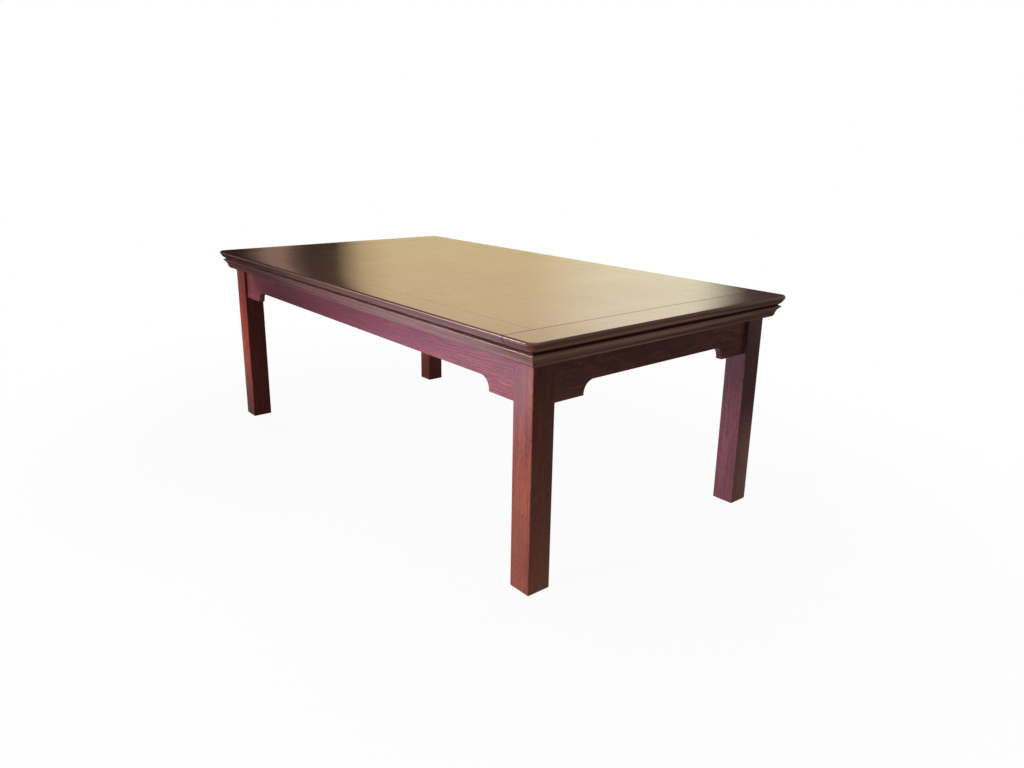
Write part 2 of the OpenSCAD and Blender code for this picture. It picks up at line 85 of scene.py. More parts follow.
# Shape of the cornice, in from the nose of the top and down from its underside
SHADOW_SET, SHADOW_DROP = 0.003, 0.002
LIP_SET, LIP_DROP, LIP_EDGE, LIP_STEP, LIP_BULGE = 0.016, 0.006, 0.0046, 0.0025, 0.0008
LIP_ROUND = 0.0022
COVE_HOLLOW = 0.0025
FOOT_SET, FOOT_IN, FOOT_H, FOOT_BULGE = 0.038, 0.008, 0.009, 0.0016
# How far in from the edge of the top the screws of a cornice can be
CORNICE_REACH = 0.05

# Shape of the aprons' brackets, of the eased edges and of the flat behind each corner block
APRON_Z = under_z - 0.126
BRACKET_L, BRACKET_NIB = 0.122, 0.004
APRON_EASE = 0.0022
LEG_EASE = 0.003
FOOT_EASE = 0.0025
LEG_FLAT = 0.016
FLAT_OVER = 0.012
BLOCK_T = 0.040

# Sizes of the fixings
SCREW_GRIP = 0.022
HEAD_R = 0.0045
HOLE_R = HEAD_R + 0.0001
HEAD_PLAY = 0.0003
ACCESS_L, BLOCK_ACCESS_L = 0.03, 0.05
BOLT_R = 0.004
PIN_HOLE_R, PIN_OVER = 0.0041, 0.002
BUTTON_LIP, BUTTON_LIP_T, BUTTON_LIP_DROP = 0.009, 0.007, 0.012
BUTTON_HOLE = 0.040
SLOT_SIDE, SLOT_END, SLOT_UP, SLOT_OPEN = 0.003, 0.001, 0.00015, 0.002
BLOCK_EASE, BEARER_EASE, BUTTON_EASE = 0.0015, 0.002, 0.0012
GLIDE_RIM = 0.0016
DOWN = Vector((0, 0, -1))


# Points of an arc from p to q that rises by bulge to the left of the way from p to q
def bow(p, q, bulge, steps):
    way = q - p
    along = way.normalized()
    left = Vector((-along.y, along.x))
    high = abs(bulge)
    radius = (way.length_squared / 4 + high * high) / (2 * high)
    half = asin(way.length / 2 / radius)
    turns = [half * (2 * i / steps - 1) for i in range(steps + 1)]
    side = copysign(1, bulge)
    middle = (p + q) / 2
    return [middle + along * radius * sin(a) + left * side * (radius * cos(a) - radius + high)
            for a in turns]


# A polyline with its given corner points cut back and rounded by short arcs
def eased(points, corners, cut_back, steps=3):
    out = []
    for i, p in enumerate(points):
        if i not in corners:
            out.append(p)
            continue
        before = p + (points[i - 1] - p).normalized() * cut_back
        after = p + (points[i + 1] - p).normalized() * cut_back
        for k in range(steps + 1):
            t = k / steps
            out.append(before * (1 - t) ** 2 + p * 2 * t * (1 - t) + after * t ** 2)
    return out


def edge_outline():
    turns = [pi / 2 - i * (pi / 2 + NOSE_TURN) / 18 for i in range(19)]
    nose = [Vector((NOSE_R * (1 - cos(a)), NOSE_R * (1 - sin(a)))) for a in turns]
    lower = bow(nose[-1] + QUIRK, Vector((UNDERCUT, top_z - under_z)), OVOLO_BULGE, 10)
    return nose + lower


def cornice_outline():
    drop = top_z - under_z
    foot = top_z - cornice_low.z
    back = half_w + cornice_high.y
    lip = Vector((LIP_SET, drop + LIP_DROP))
    cove_start = lip + Vector((LIP_STEP, LIP_EDGE + 0.001))
    cove_end = Vector((FOOT_SET - FOOT_IN, foot - FOOT_H))
    shadow = Vector((UNDERCUT + SHADOW_SET, drop + SHADOW_DROP))
    points = [Vector((back, drop)), Vector((shadow.x, drop))]
    points += bow(shadow, lip, -LIP_BULGE, 4)
    lip_at = len(points) - 1
    points += [lip + Vector((0, LIP_EDGE))]
    points += bow(cove_start, cove_end, -COVE_HOLLOW, 10)
    points += bow(cove_end + Vector((0.001, 0.001)), Vector((FOOT_SET, foot)), FOOT_BULGE, 8)
    points += [Vector((back, foot))]
    return eased(points, {lip_at, lip_at + 1}, LIP_ROUND, 5)


# Cosine and sine at equal steps of a turn, with both its ends
def arc(steps, start=0.0, sweep=pi / 2):
    return [(cos(a), sin(a)) for a in (start + sweep * i / steps for i in range(steps + 1))]


# Feeds sockets, each by a link from another node or with a plain value
def feed(sockets, values):
    for key, value in values.items():
        if isinstance(value, bpy.types.NodeSocket):
            value.id_data.links.new(value, sockets[key])
        else:
            sockets[key].default_value = value


# Adds a node to the given tree, or else to the tree of the sockets that feed it
def add(kind, values=None, tree=None, **settings):
    values = values or {}
    if tree is None:
        tree = next(v.id_data for v in values.values() if isinstance(v, bpy.types.NodeSocket))
    made = tree.nodes.new(kind)
    for key, value in settings.items():
        setattr(made, key, value)
    feed(made.inputs, values)
    return made


def result(kind, values=None, tree=None, **settings):
    return add(kind, values, tree, **settings).outputs[0]


def sums(operation, *values, clamp=False):
    return result("ShaderNodeMath", dict(enumerate(values)), operation=operation, use_clamp=clamp)


def plus(a, b):
    return sums("ADD", a, b)


def minus(a, b):
    return sums("SUBTRACT", a, b)


def times(a, b):
    return sums("MULTIPLY", a, b)


def times_plus(a, b, c, clamp=False):
    return sums("MULTIPLY_ADD", a, b, c, clamp=clamp)


def vector_sums(operation, *values):
    return result("ShaderNodeVectorMath", dict(enumerate(values)), operation=operation)


# Length of a vector along weighted axes
def length_of(vector, weights):
    weighted = vector_sums("MULTIPLY", vector, weights)
    return add("ShaderNodeVectorMath", {0: weighted}, operation="LENGTH").outputs["Value"]


def parts(vector):
    return add("ShaderNodeSeparateXYZ", {0: vector}).outputs


def joined(x=0.0, y=0.0, z=0.0):
    return result("ShaderNodeCombineXYZ", {"X": x, "Y": y, "Z": z})


def ramp(value, low, high, to_low=0.0, to_high=1.0, kind="SMOOTHSTEP"):
    return result("ShaderNodeMapRange", {"Value": value, "From Min": low, "From Max": high,
                                         "To Min": to_low, "To Max": to_high}, interpolation_type=kind)


def fade(mask, low, high):
    return ramp(mask, 0.0, 1.0, low, high, "LINEAR")


# Noise with one scale along the grain and one across it
def noise(vector, along, across, detail, rough=0.5, output="Fac"):
    stretched = vector_sums("MULTIPLY", vector, (along, across, across))
    return add("ShaderNodeTexNoise",
               {"Vector": stretched, "Scale": 1.0, "Detail": detail, "Roughness": rough}).outputs[output]


# The mix node's colour sockets go by their places, as its sockets share their names
def mix_colour(factor, a, b):
    return add("ShaderNodeMix", {0: factor, 6: a, 7: b}, data_type="RGBA").outputs[2]


# A node group. Each of its inputs is given by its first value or its kind, each output by its kind.
def new_group(name, kind, takes, gives):
    tree = bpy.data.node_groups.new(name, kind)
    kinds = {bool: "Bool", int: "Int", float: "Float"}
    for direction, sockets in (("INPUT", takes), ("OUTPUT", gives)):
        for label, value in sockets.items():
            if isinstance(value, str):
                socket_kind = value
            else:
                socket_kind = kinds.get(type(value)) or ("Color" if len(value) == 4 else "Vector")
            made = tree.interface.new_socket(label, in_out=direction, socket_type="NodeSocket" + socket_kind)
            if socket_kind != value:
                made.default_value = value
    return tree, add("NodeGroupInput", tree=tree).outputs, add("NodeGroupOutput", tree=tree).inputs


# What the grain group tells the stain group
MARKS = ("Rings", "Heart", "Flecks", "Fibre", "Pores", "Cloud")


# Grain of sawn open-pored timber. The vector runs along the grain in X. The pith is the middle of the
# tree's rings, which the board misses by that much, and the taper makes their arches on a flat face.
def make_grain_group():
    tree, given, made = new_group("sawn_grain", "ShaderNodeTree", {
        "Vector": "Vector", "Pith": (0.0, 0.12, 0.05), "Ring Width": 0.005, "Taper": 0.03, "Wander": 0.02,
        "Heart Size": 0.0}, dict.fromkeys((*MARKS, "Relief"), "Float"))
    place = given["Vector"]
    bend, ripple = (vector_sums("SUBTRACT", noise(place, *scales, output="Color"), (0.5, 0.5, 0.5))
                    for scales in ((1.6, 6.0, 2.0), (9.0, 16.0, 1.0)))
    bend = vector_sums("MULTIPLY_ADD", ripple, (0.0, 0.12, 0.12), bend)
    bend = result("ShaderNodeVectorMath", {0: bend, "Scale": given["Wander"]}, operation="SCALE")
    swayed = vector_sums("SUBTRACT", vector_sums("ADD", place, bend), given["Pith"])
    radius = times_plus(parts(place)["X"], given["Taper"], length_of(swayed, (0.0, 1.0, 1.0)))
    wobble = noise(place, 3.0, 60.0, 3.0)
    ring = sums("FRACT", times_plus(wobble, 0.9, sums("DIVIDE", radius, given["Ring Width"])))
    late = times(ramp(ring, 0.15, 0.85), ramp(ring, 1.0, 0.9))
    early = ramp(ring, 0.45, 0.0)
    off_heart = times_plus(noise(place, 2.2, 12.0, 2.0), 0.08, minus(radius, given["Heart Size"]))
    flecks = ramp(noise(swayed, 70.0, 260.0, 3.0), 0.46, 0.66)
    fine, streak = noise(swayed, 10.0, 430.0, 3.0, 0.6), noise(swayed, 4.0, 190.0, 3.0, 0.55)
    fibre = times_plus(streak, 0.6, times(fine, 0.4))
    pores = times(ramp(noise(place, 60.0, 1300.0, 1.0), 0.52, 0.66), fade(early, 0.3, 1.0))
    relief = times_plus(late, 0.35, minus(times(fibre, 0.5), pores))
    feed(made, {"Rings": late, "Heart": ramp(off_heart, 0.055, 0.025), "Flecks": flecks, "Fibre": fibre,
                "Pores": pores, "Cloud": noise(place, 3.0, 13.0, 3.0),
                "Relief": times_plus(flecks, -0.12, relief)})
    return tree


# Stain over the grain: light and dark of the wood, darker filled pores and clouds of uneven stain
def make_stain_group():
    tree, given, made = new_group("stain", "ShaderNodeTree", {
        "Rings": 0.5, "Heart": 0.0, "Flecks": 0.0, "Fibre": 0.5, "Pores": 0.0, "Cloud": 0.5,
        "Light": (0.3, 0.1, 0.06, 1), "Dark": (0.08, 0.02, 0.02, 1), "Pore Colour": (0.02, 0.006, 0.006, 1),
        "Ring Depth": 0.45, "Heart Depth": 0.0, "Fleck Depth": 0.1, "Pore Depth": 0.6, "Cloud Depth": 0.3},
        {"Colour": "Color"})
    shade = times_plus(given["Rings"], given["Ring Depth"], ramp(given["Fibre"], 0.38, 0.62, 0.0, 0.6))
    shade = times_plus(given["Flecks"], given["Fleck Depth"], shade, clamp=True)
    colour = mix_colour(shade, given["Light"], given["Dark"])
    for mark, depth, tint in ((ramp(given["Cloud"], 0.35, 0.68), "Cloud Depth", "Dark"),
                              (given["Heart"], "Heart Depth", "Dark"),
                              (given["Pores"], "Pore Depth", "Pore Colour")):
        colour = mix_colour(times(mark, given[depth]), colour, given[tint])
    feed(made, {"Colour": colour})
    return tree


# Dust, faint rubs and uneven lacquer or plating, as a mask
def make_handling_group():
    tree, given, made = new_group("handling", "ShaderNodeTree", {
        "Vector": "Vector", "Broad Scale": 3.0, "Fine Scale": 40.0}, {"Smears": "Float"})
    broad, fine = (result("ShaderNodeTexNoise", {"Vector": given["Vector"], "Scale": given[label],
                                                 "Detail": 4.0, "Roughness": 0.6})
                   for label in ("Broad Scale", "Fine Scale"))
    feed(made, {"Smears": ramp(times_plus(fine, 0.3, times(broad, 0.7)), 0.34, 0.66)})
    return tree


# Stain and dust pooled in the V lines of the top, and painted shade in the step under its nose, as one mask
def make_joint_stain_and_step_shade_group():
    tree, given, made = new_group("pooled_in_grooves", "ShaderNodeTree", {
        "Vector": "Vector", "End Joint": 0.9, "Side Joint": 0.4, "Top": 0.76, "Width": 0.002,
        "Side Share": 0.8, "Step Depth": 0.014}, {"Pooled": "Float"})
    spot = parts(given["Vector"])
    x, y = (sums("ABSOLUTE", spot[axis]) for axis in "XY")
    at_end, at_side = (sums("LESS_THAN", sums("ABSOLUTE", minus(away, given[joint])), given["Width"])
                       for away, joint in ((x, "End Joint"), (y, "Side Joint")))
    inside = sums("LESS_THAN", x, plus(given["End Joint"], given["Width"]))
    line = sums("MAXIMUM", at_end, times(times(at_side, inside), given["Side Share"]))
    depth = minus(given["Top"], spot["Z"])
    line = times(line, ramp(depth, 0.00003, 0.00025))
    # Painted shade: darker along the step under the nose
    off_step = sums("ABSOLUTE", minus(depth, given["Step Depth"]))
    feed(made, {"Pooled": sums("MAXIMUM", line, ramp(off_step, 0.0011, 0.0004))})
    return tree


# Painted shade in the shadow gap over the lip of the cornice, as a mask: all that is higher than the level
def make_gap_shade_group():
    tree, given, made = new_group("pooled_in_gap", "ShaderNodeTree", {"Vector": "Vector", "Level": 0.7},
                                  {"Pooled": "Float"})
    over = minus(parts(given["Vector"])["Z"], given["Level"])
    feed(made, {"Pooled": ramp(over, -0.0004, 0.0006)})
    return tree


GRAIN = make_grain_group()
STAIN = make_stain_group()
HANDLING = make_handling_group()
JOINT_STAIN_AND_STEP_SHADE = make_joint_stain_and_step_shade_group()
GAP_SHADE = make_gap_shade_group()

# Turns that lay the grain along the table, across it and upright
ALONG = (0.0, 0.0, 0.0)
ACROSS = (0.0, 0.0, radians(-90))
UPRIGHT = (0.0, radians(90), 0.0)


def new_material(name):
    material = bpy.data.materials.new(name)
    material.use_nodes = True
    tree = material.node_tree
    place = add("ShaderNodeTexCoord", tree=tree).outputs["Object"]
    return material, tree.nodes["Principled BSDF"].inputs, place


# The handling mask on a material, with the scales of its broad and fine patches
def smears_of(place, broad, fine):
    return result("ShaderNodeGroup", {"Vector": place, "Broad Scale": broad, "Fine Scale": fine},
                  node_tree=HANDLING)


def bumps(height, strength, distance):
    return result("ShaderNodeBump", {"Height": height, "Strength": strength, "Distance": distance})


# The inputs of a group that a look gives, as ring_width for Ring Width
def named_inputs(group, look):
    labels = [item.name for item in group.interface.items_tree if item.in_out == "INPUT"]
    keys = {label: label.lower().replace(" ", "_") for label in labels}
    return {label: look[key] for label, key in keys.items() if key in look}


# Wood under lacquer, or bare. The shift moves the board's pattern, so that no two boards match, and the
# look gives what differs from the first values of the grain and stain groups.
def wood(name, turn, shift, rough=(0.3, 0.45), coat=0.0, coat_rough=0.15, specular=0.5, bump=0.35,
         pooled_in=None, **look):
    material, shader, place = new_material(name)
    board = result("ShaderNodeMapping", {"Vector": place, "Rotation": turn, "Location": shift})
    grain = add("ShaderNodeGroup", {"Vector": board, **named_inputs(GRAIN, look)}, board.id_data,
                node_tree=GRAIN).outputs
    marks = {label: grain[label] for label in MARKS}
    colour = result("ShaderNodeGroup", {**marks, **named_inputs(STAIN, look)}, node_tree=STAIN)
    roughness = times_plus(grain["Pores"], 0.12, fade(smears_of(place, 3.0, 40.0), *rough), clamp=True)
    feed(shader, {"Coat Weight": coat, "Coat Roughness": coat_rough, "Specular IOR Level": specular,
                  "Normal": bumps(grain["Relief"], bump, 0.0004)})
    # Stain in the top's joints, and painted shade in the step under its nose and in the cornice's gap, darken
    # the wood through one mask
    if pooled_in:
        group, values = pooled_in
        stain_and_shade = result("ShaderNodeGroup", {"Vector": place, **values}, node_tree=group)
        colour = mix_colour(times(stain_and_shade, 0.85), colour, look["pore_colour"])
        roughness = times_plus(stain_and_shade, 0.4, roughness, clamp=True)
        feed(shader, {"Coat Weight": fade(stain_and_shade, coat, 0.1)})
    feed(shader, {"Base Color": colour, "Roughness": roughness})
    return material


# A smooth material that its handling mottles between two colours and two roughnesses
def mottled(name, colour, worn, rough, metallic, broad, fine, bump):
    material, shader, place = new_material(name)
    smears = smears_of(place, broad, fine)
    feed(shader, {"Base Color": mix_colour(smears, colour, worn), "Roughness": fade(smears, *rough),
                  "Metallic": metallic, "Normal": bumps(smears, bump, 0.0001)})
    return material


# Piece helpers: every piece rides on the one body and stands for its CAD nodes
def finish_piece(piece, slot, *nodes):
    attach(piece, "root")
    if nodes:
        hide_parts(*nodes)


def smooth_shell(mesh, angle=32):
    shell = bmesh.new()
    shell.from_mesh(mesh)
    bmesh.ops.remove_doubles(shell, verts=shell.verts, dist=1e-6)
    bmesh.ops.recalc_face_normals(shell, faces=shell.faces)
    shell.to_mesh(mesh)
    shell.free()
    mesh.polygons.foreach_set("use_smooth", [True] * len(mesh.polygons))
    mesh.set_sharp_from_angle(angle=radians(angle))


def new_object(name, mesh):
    piece = bpy.data.objects.new(name, mesh)
    bpy.context.scene.collection.objects.link(piece)
    return piece


def new_mesh(name, points, faces):
    mesh = bpy.data.meshes.new(name)
    mesh.from_pydata([tuple(p) for p in points], [], faces)
    return mesh


def mesh_piece(name, points, faces, material, angle=32):
    piece = new_object(name, new_mesh(name, points, faces))
    smooth_shell(piece.data, angle)
    piece.data.materials.append(material)
    return piece


# Faces of a closed shell through rings of equally many points, capped at both ends
def shell_faces(rings, count, start=0):
    faces = [(r * count + i, r * count + (i + 1) % count,
              (r + 1) * count + (i + 1) % count, (r + 1) * count + i)
             for r in range(rings - 1) for i in range(count)]
    faces += [tuple(range(count)), tuple((rings - 1) * count + i for i in range(count))]
    return [tuple(start + i for i in face) for face in faces]


# Faces between neighbouring rows of equally many points; with a strip for each row they close round
def grid_faces(rows, count, strips):
    return [(r * count + i, r * count + i + 1, (r + 1) % rows * count + i + 1, (r + 1) % rows * count + i)
            for r in range(strips) for i in range(count - 1)]


def loft(name, rings, material, angle=32):
    points = [p for ring in rings for p in ring]
    return mesh_piece(name, points, shell_faces(len(rings), len(rings[0])), material, angle)


# Keeps what a piece's modifiers make as a plain mesh, and takes the modifiers off
def settle(piece, angle=32):
    made = bpy.data.meshes.new_from_object(piece.evaluated_get(bpy.context.evaluated_depsgraph_get()))
    piece.modifiers.clear()
    made.name = piece.name
    piece.data = made
    smooth_shell(made, angle)


# Rounds the edges of a piece that turn by more than 40 degrees
def ease_edges(piece, width):
    modifier = piece.modifiers.new("eased", "BEVEL")
    modifier.width = width
    modifier.segments = 2
    modifier.limit_method = "ANGLE"
    modifier.angle_limit = radians(40)
    settle(piece)


# Cuts closed shells, given as their rings of points, out of a piece
def cut(piece, shells, angle=32):
    points, faces = [], []
    for rings in shells:
        faces += shell_faces(len(rings), len(rings[0]), len(points))
        points += [p for ring in rings for p in ring]
    tool = new_object("cutter", new_mesh("cutter", points, faces))
    smooth_shell(tool.data)
    modifier = piece.modifiers.new("cut", "BOOLEAN")
    modifier.operation = "DIFFERENCE"
    modifier.solver = "EXACT"
    modifier.object = tool
    settle(piece, angle)
    bpy.data.objects.remove(tool)


# Rings of a round hole from one point to another
def hole(start, end, radius, sides=28):
    spin = (end - start).to_track_quat("Z", "Y")
    around = [spin @ Vector((radius * x, radius * y, 0)) for x, y in arc(sides, 0.0, tau)[:-1]]
    return [[end_point + p for p in around] for end_point in (start, end)]


# Drills the holes of the given depth that lead to the heads of a node's screws, where the head belongs here
def drill(piece, node, depth, belongs):
    holes = []
    for head, tip in screws[node]:
        if belongs(head):
            way = (tip - head).normalized()
            holes.append(hole(head + way * HEAD_PLAY, head - way * depth, HOLE_R))
    cut(piece, holes)


def box_rings(low, high):
    corners = (low.x, low.y), (high.x, low.y), (high.x, high.y), (low.x, high.y)
    return [[Vector((x, y, z)) for x, y in corners] for z in (low.z, high.z)]


# The separate solids of a CAD node, each as the list of its points
def solids_of(node):
    shell = bmesh.new()
    shell.from_mesh(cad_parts[node].data)
    bmesh.ops.remove_doubles(shell, verts=shell.verts, dist=1e-6)
    unseen = dict.fromkeys(shell.verts)
    found = []
    while unseen:
        reach = [unseen.popitem()[0]]
        solid = [reach[0].co.copy()]
        while reach:
            for edge in reach.pop().link_edges:
                for vert in edge.verts:
                    if vert in unseen:
                        del unseen[vert]
                        reach.append(vert)
                        solid.append(vert.co.copy())
        found.append(solid)
    shell.free()
    found.sort(key=lambda solid: [round(v, 4) for v in sum(solid, Vector((0, 0, 0))) / len(solid)])
    return found


def box_of(solid):
    return [Vector([pick(p[i] for p in solid) for i in range(3)]) for pick in (min, max)]


# The two ends of a solid's axis in the given direction
def ends_of(solid, way):
    low, high = box_of(solid)
    middle = (low + high) / 2
    reach = [(p - middle).dot(way) for p in solid]
    return middle + way * min(reach), middle + way * max(reach)


# Head and tip of each screw of a node, the head being the wider end
def screws_of(node):
    found = []
    for solid in solids_of(node):
        low, high = box_of(solid)
        spans = list(high - low)
        way = Vector([1.0 if i == spans.index(max(spans)) else 0.0 for i in range(3)])
        ends = ends_of(solid, way)
        wide = [max((p - end).length for p in solid if abs((p - end).dot(way)) < 1e-4) for end in ends]
        found.append(ends if wide[0] > wide[1] else ends[::-1])
    return found


# Boxes of the buttons that hold in each apron, and the direction from the apron into the room
def sort_buttons():
    found = {}
    for low, high in map(box_of, solids_of("table_buttons")):
        if low.y < -inner_w:
            label, way = "front", (0, 1, 0)
        elif high.y > inner_w:
            label, way = "back", (0, -1, 0)
        elif low.x < -inner_l:
            label, way = "left", (1, 0, 0)
        else:
            label, way = "right", (-1, 0, 0)
        found.setdefault(label, []).append((low, high, Vector(way)))
    return found


# Points mesh with the direction of each thing that is set on it
def points_mesh(name, places):
    mesh = new_mesh(name, [p for p, way in places], [])
    drive = mesh.attributes.new("drive", "FLOAT_VECTOR", "POINT")
    for i, (p, way) in enumerate(places):
        drive.data[i].vector = way
    return mesh


# Runs a geometry tree on a mesh and keeps the result as a plain piece
def grow(name, mesh, tree, values, angle=32):
    piece = new_object(name, mesh)
    modifier = piece.modifiers.new("grow", "NODES")
    modifier.node_group = tree
    for item in tree.interface.items_tree:
        if item.in_out == "INPUT" and item.name in values:
            modifier[item.identifier] = values[item.name]
    settle(piece, angle)
    return piece


# Ends a geometry tree: instances made real and the material set
def end_tree(given, shape, made):
    plain = result("GeometryNodeRealizeInstances", {"Geometry": shape})
    feed(made, {0: result("GeometryNodeSetMaterial", {"Geometry": plain, "Material": given["Material"]})})


# Shapes fed one after the other into a socket that takes several
def gathered(kind, socket, *shapes, **settings):
    made = add(kind, tree=shapes[0].id_data, **settings)
    for shape in shapes:
        feed(made.inputs, {socket: shape})
    return made.outputs[0]


def moved(shape, x=0.0, y=0.0, z=0.0, turn=(0.0, 0.0, 0.0)):
    return result("GeometryNodeTransform",
                  {"Geometry": shape, "Translation": joined(x, y, z), "Rotation": turn})


def less(shape, cutter):
    return result("GeometryNodeMeshBoolean", {0: shape, 1: cutter}, operation="DIFFERENCE", solver="EXACT")


def cylinder(sides, radius, depth):
    return result("GeometryNodeMeshCylinder", {"Vertices": sides, "Radius": radius, "Depth": depth})


def cone(sides, bottom, top, depth):
    return result("GeometryNodeMeshCone", {"Vertices": sides, "Radius Bottom": bottom, "Radius Top": top,
                                           "Depth": depth})


def cuboid(x, y, z):
    return result("GeometryNodeMeshCube", {"Size": joined(x, y, z)})


# Sets a shape on every point, its Z along the drive direction and its Y upwards
def set_on_points(given, shape, made):
    drive = result("GeometryNodeInputNamedAttribute", {"Name": "drive"}, shape.id_data,
                   data_type="FLOAT_VECTOR")
    aim = result("FunctionNodeAxesToRotation", {"Primary Axis": drive, "Secondary Axis": (0.0, 0.02, 1.0)},
                 primary_axis="Z", secondary_axis="Y")
    end_tree(given, result("GeometryNodeInstanceOnPoints",
                           {"Points": given["Points"], "Instance": shape, "Rotation": aim}), made)


# Geometry nodes that draw an outline into a length of moulding with mitred ends
def make_moulding_tree():
    tree, given, made = new_group("mitred_moulding", "GeometryNodeTree", {
        "Outline": "Geometry", "Half Length": 1.0, "Outer Edge": 0.5, "Turn": 0.0, "Material": "Material"},
        {"Moulding": "Geometry"})
    half = given["Half Length"]
    face = result("GeometryNodeSetPosition",
                  {"Geometry": given["Outline"], "Offset": joined(times(half, -1.0))})
    drawn = result("GeometryNodeExtrudeMesh",
                   {"Mesh": face, "Offset": joined(times(half, 2.0)), "Offset Scale": 1.0,
                    "Individual": False}, mode="FACES")
    shell = gathered("GeometryNodeJoinGeometry", 0, drawn, result("GeometryNodeFlipFaces", {"Mesh": face}))
    shell = result("GeometryNodeMergeByDistance", {"Geometry": shell, "Distance": 1e-5})
    spot = parts(result("GeometryNodeInputPosition", tree=tree))
    mitre = times(sums("SIGN", spot["X"]), times(plus(spot["Y"], given["Outer Edge"]), -1.0))
    shell = result("GeometryNodeSetPosition", {"Geometry": shell, "Offset": joined(mitre)})
    shell = result("GeometryNodeTransform", {"Geometry": shell, "Rotation": joined(z=given["Turn"])})
    end_tree(given, shell, made)
    return tree


# Geometry nodes for a threaded rod with a countersunk cross head, or a plain end where Head is off
def make_screw_tree():
    tree, given, made = new_group("set_screws", "GeometryNodeTree", {
        "Points": "Geometry", "Length": 0.03, "Shank Radius": 0.00225, "Head Radius": 0.0045,
        "Head Height": 0.0025, "Point Length": 0.004, "Pitch": 0.002, "Head": True, "Material": "Material"},
        {"Screws": "Geometry"})
    length, shank, head_h = given["Length"], given["Shank Radius"], given["Head Height"]
    head_r, point_l = given["Head Radius"], given["Point Length"]
    core = times(shank, 0.8)
    head = cone(32, head_r, core, head_h)
    arm, web = times(head_r, 1.15), times(head_r, 0.24)
    recess_z = times(head_h, -0.02)
    for x, y in ((arm, web), (web, arm)):
        head = less(head, moved(cuboid(x, y, head_h), z=recess_z))
    flat = moved(cylinder(32, shank, head_h), z=times(head_h, 0.5))
    top = result("GeometryNodeSwitch", {"Switch": given["Head"], "False": flat, "True": head},
                 input_type="GEOMETRY")
    straight = minus(minus(length, point_l), head_h)
    rod = moved(cylinder(16, core, straight), z=times_plus(straight, 0.5, head_h))
    tip = moved(cone(16, core, 0.0001, point_l), z=minus(length, point_l))
    crest = result("GeometryNodeCurveSpiral",
                   {"Resolution": 14, "Rotations": sums("DIVIDE", straight, given["Pitch"]),
                    "Start Radius": core, "End Radius": core, "Height": straight})
    section = result("GeometryNodeCurvePrimitiveCircle", {"Resolution": 4, "Radius": times(shank, 0.2)},
                     mode="RADIUS")
    thread = result("GeometryNodeCurveToMesh", {"Curve": crest, "Profile Curve": section, "Fill Caps": True})
    screw = gathered("GeometryNodeJoinGeometry", 0, moved(thread, z=head_h), tip, rod, top)
    set_on_points(given, screw, made)
    return tree


# Geometry nodes for a washer or a nut: a pierced prism of the given number of sides
def make_ring_tree():
    tree, given, made = new_group("set_rings", "GeometryNodeTree", {
        "Points": "Geometry", "Sides": 6, "Radius": 0.0075, "Height": 0.0065, "Hole Radius": 0.004,
        "Material": "Material"}, {"Rings": "Geometry"})
    height = given["Height"]
    ring = less(cylinder(given["Sides"], given["Radius"], height),
                cylinder(32, given["Hole Radius"], times(height, 2.0)))
    set_on_points(given, moved(ring, z=times(height, 0.5)), made)
    return tree


# Geometry nodes for the wooden buttons: a block, the lip behind it and the hole up to its screw
def make_button_tree():
    tree, given, made = new_group("set_buttons", "GeometryNodeTree", {
        "Points": "Geometry", "Width": 0.032, "Length": 0.06, "Height": 0.024, "Lip Length": 0.009,
        "Lip Thickness": 0.007, "Lip Drop": 0.012, "Hole Radius": 0.0046, "Hole Place": 0.04,
        "Hole Depth": 0.002, "Material": "Material"}, {"Buttons": "Geometry"})
    width, length, height = given["Width"], given["Length"], given["Height"]
    lip_t = given["Lip Thickness"]
    body = moved(cuboid(width, height, length), y=times(height, -0.5), z=times(length, 0.5))
    lip = moved(cuboid(width, lip_t, times(given["Lip Length"], 2.0)),
                y=minus(times(lip_t, -0.5), given["Lip Drop"]))
    button = gathered("GeometryNodeMeshBoolean", 1, body, lip, operation="UNION", solver="EXACT")
    bore = moved(cylinder(28, given["Hole Radius"], times(given["Hole Depth"], 2.0)),
                 y=times(height, -1.0), z=given["Hole Place"], turn=(pi / 2, 0.0, 0.0))
    set_on_points(given, less(button, bore), made)
    return tree


EDGE = edge_outline()
CORNICE = cornice_outline()
MOULDING = make_moulding_tree()
SCREWS = make_screw_tree()
RINGS = make_ring_tree()
BUTTONS = make_button_tree()

# Woods with their finishes. Colours are linear light: wood between the rings, late wood, filled pores.
TOP = dict(light=(0.225, 0.072, 0.048, 1), dark=(0.085, 0.027, 0.020, 1),
           pore_colour=(0.020, 0.007, 0.006, 1), rough=(0.28, 0.36), coat=1.0, coat_rough=0.12,
           specular=0.35, bump=0.08, cloud_depth=0.25,
           # Darkened in the joints by stain and in the step under the nose by painted shade
           pooled_in=(JOINT_STAIN_AND_STEP_SHADE, {"End Joint": end_joint, "Side Joint": side_joint, "Top": top_z,
                                "Width": V_DEPTH + 0.0003, "Step Depth": STEP_DEPTH}))
FRAME = dict(light=(0.400, 0.118, 0.098, 1), dark=(0.170, 0.044, 0.045, 1),
             pore_colour=(0.050, 0.014, 0.017, 1), rough=(0.29, 0.325), coat=0.5, coat_rough=0.18,
             specular=0.45, bump=0.3, cloud_depth=0.45)
APRON = dict(FRAME, light=(0.520, 0.130, 0.112, 1), dark=(0.180, 0.045, 0.064, 1), pith=(0.0, 0.04, 0.02),
             ring_width=0.0045, wander=0.045, taper=0.02, ring_depth=0.65, heart_size=0.09, heart_depth=0.45,
             fleck_depth=0.45)
LEG = dict(FRAME, pith=(0.0, 0.05, -0.06), ring_width=0.0045, wander=0.02, taper=0.03, ring_depth=0.3,
           heart_size=0.055, heart_depth=0.6, fleck_depth=0.42)
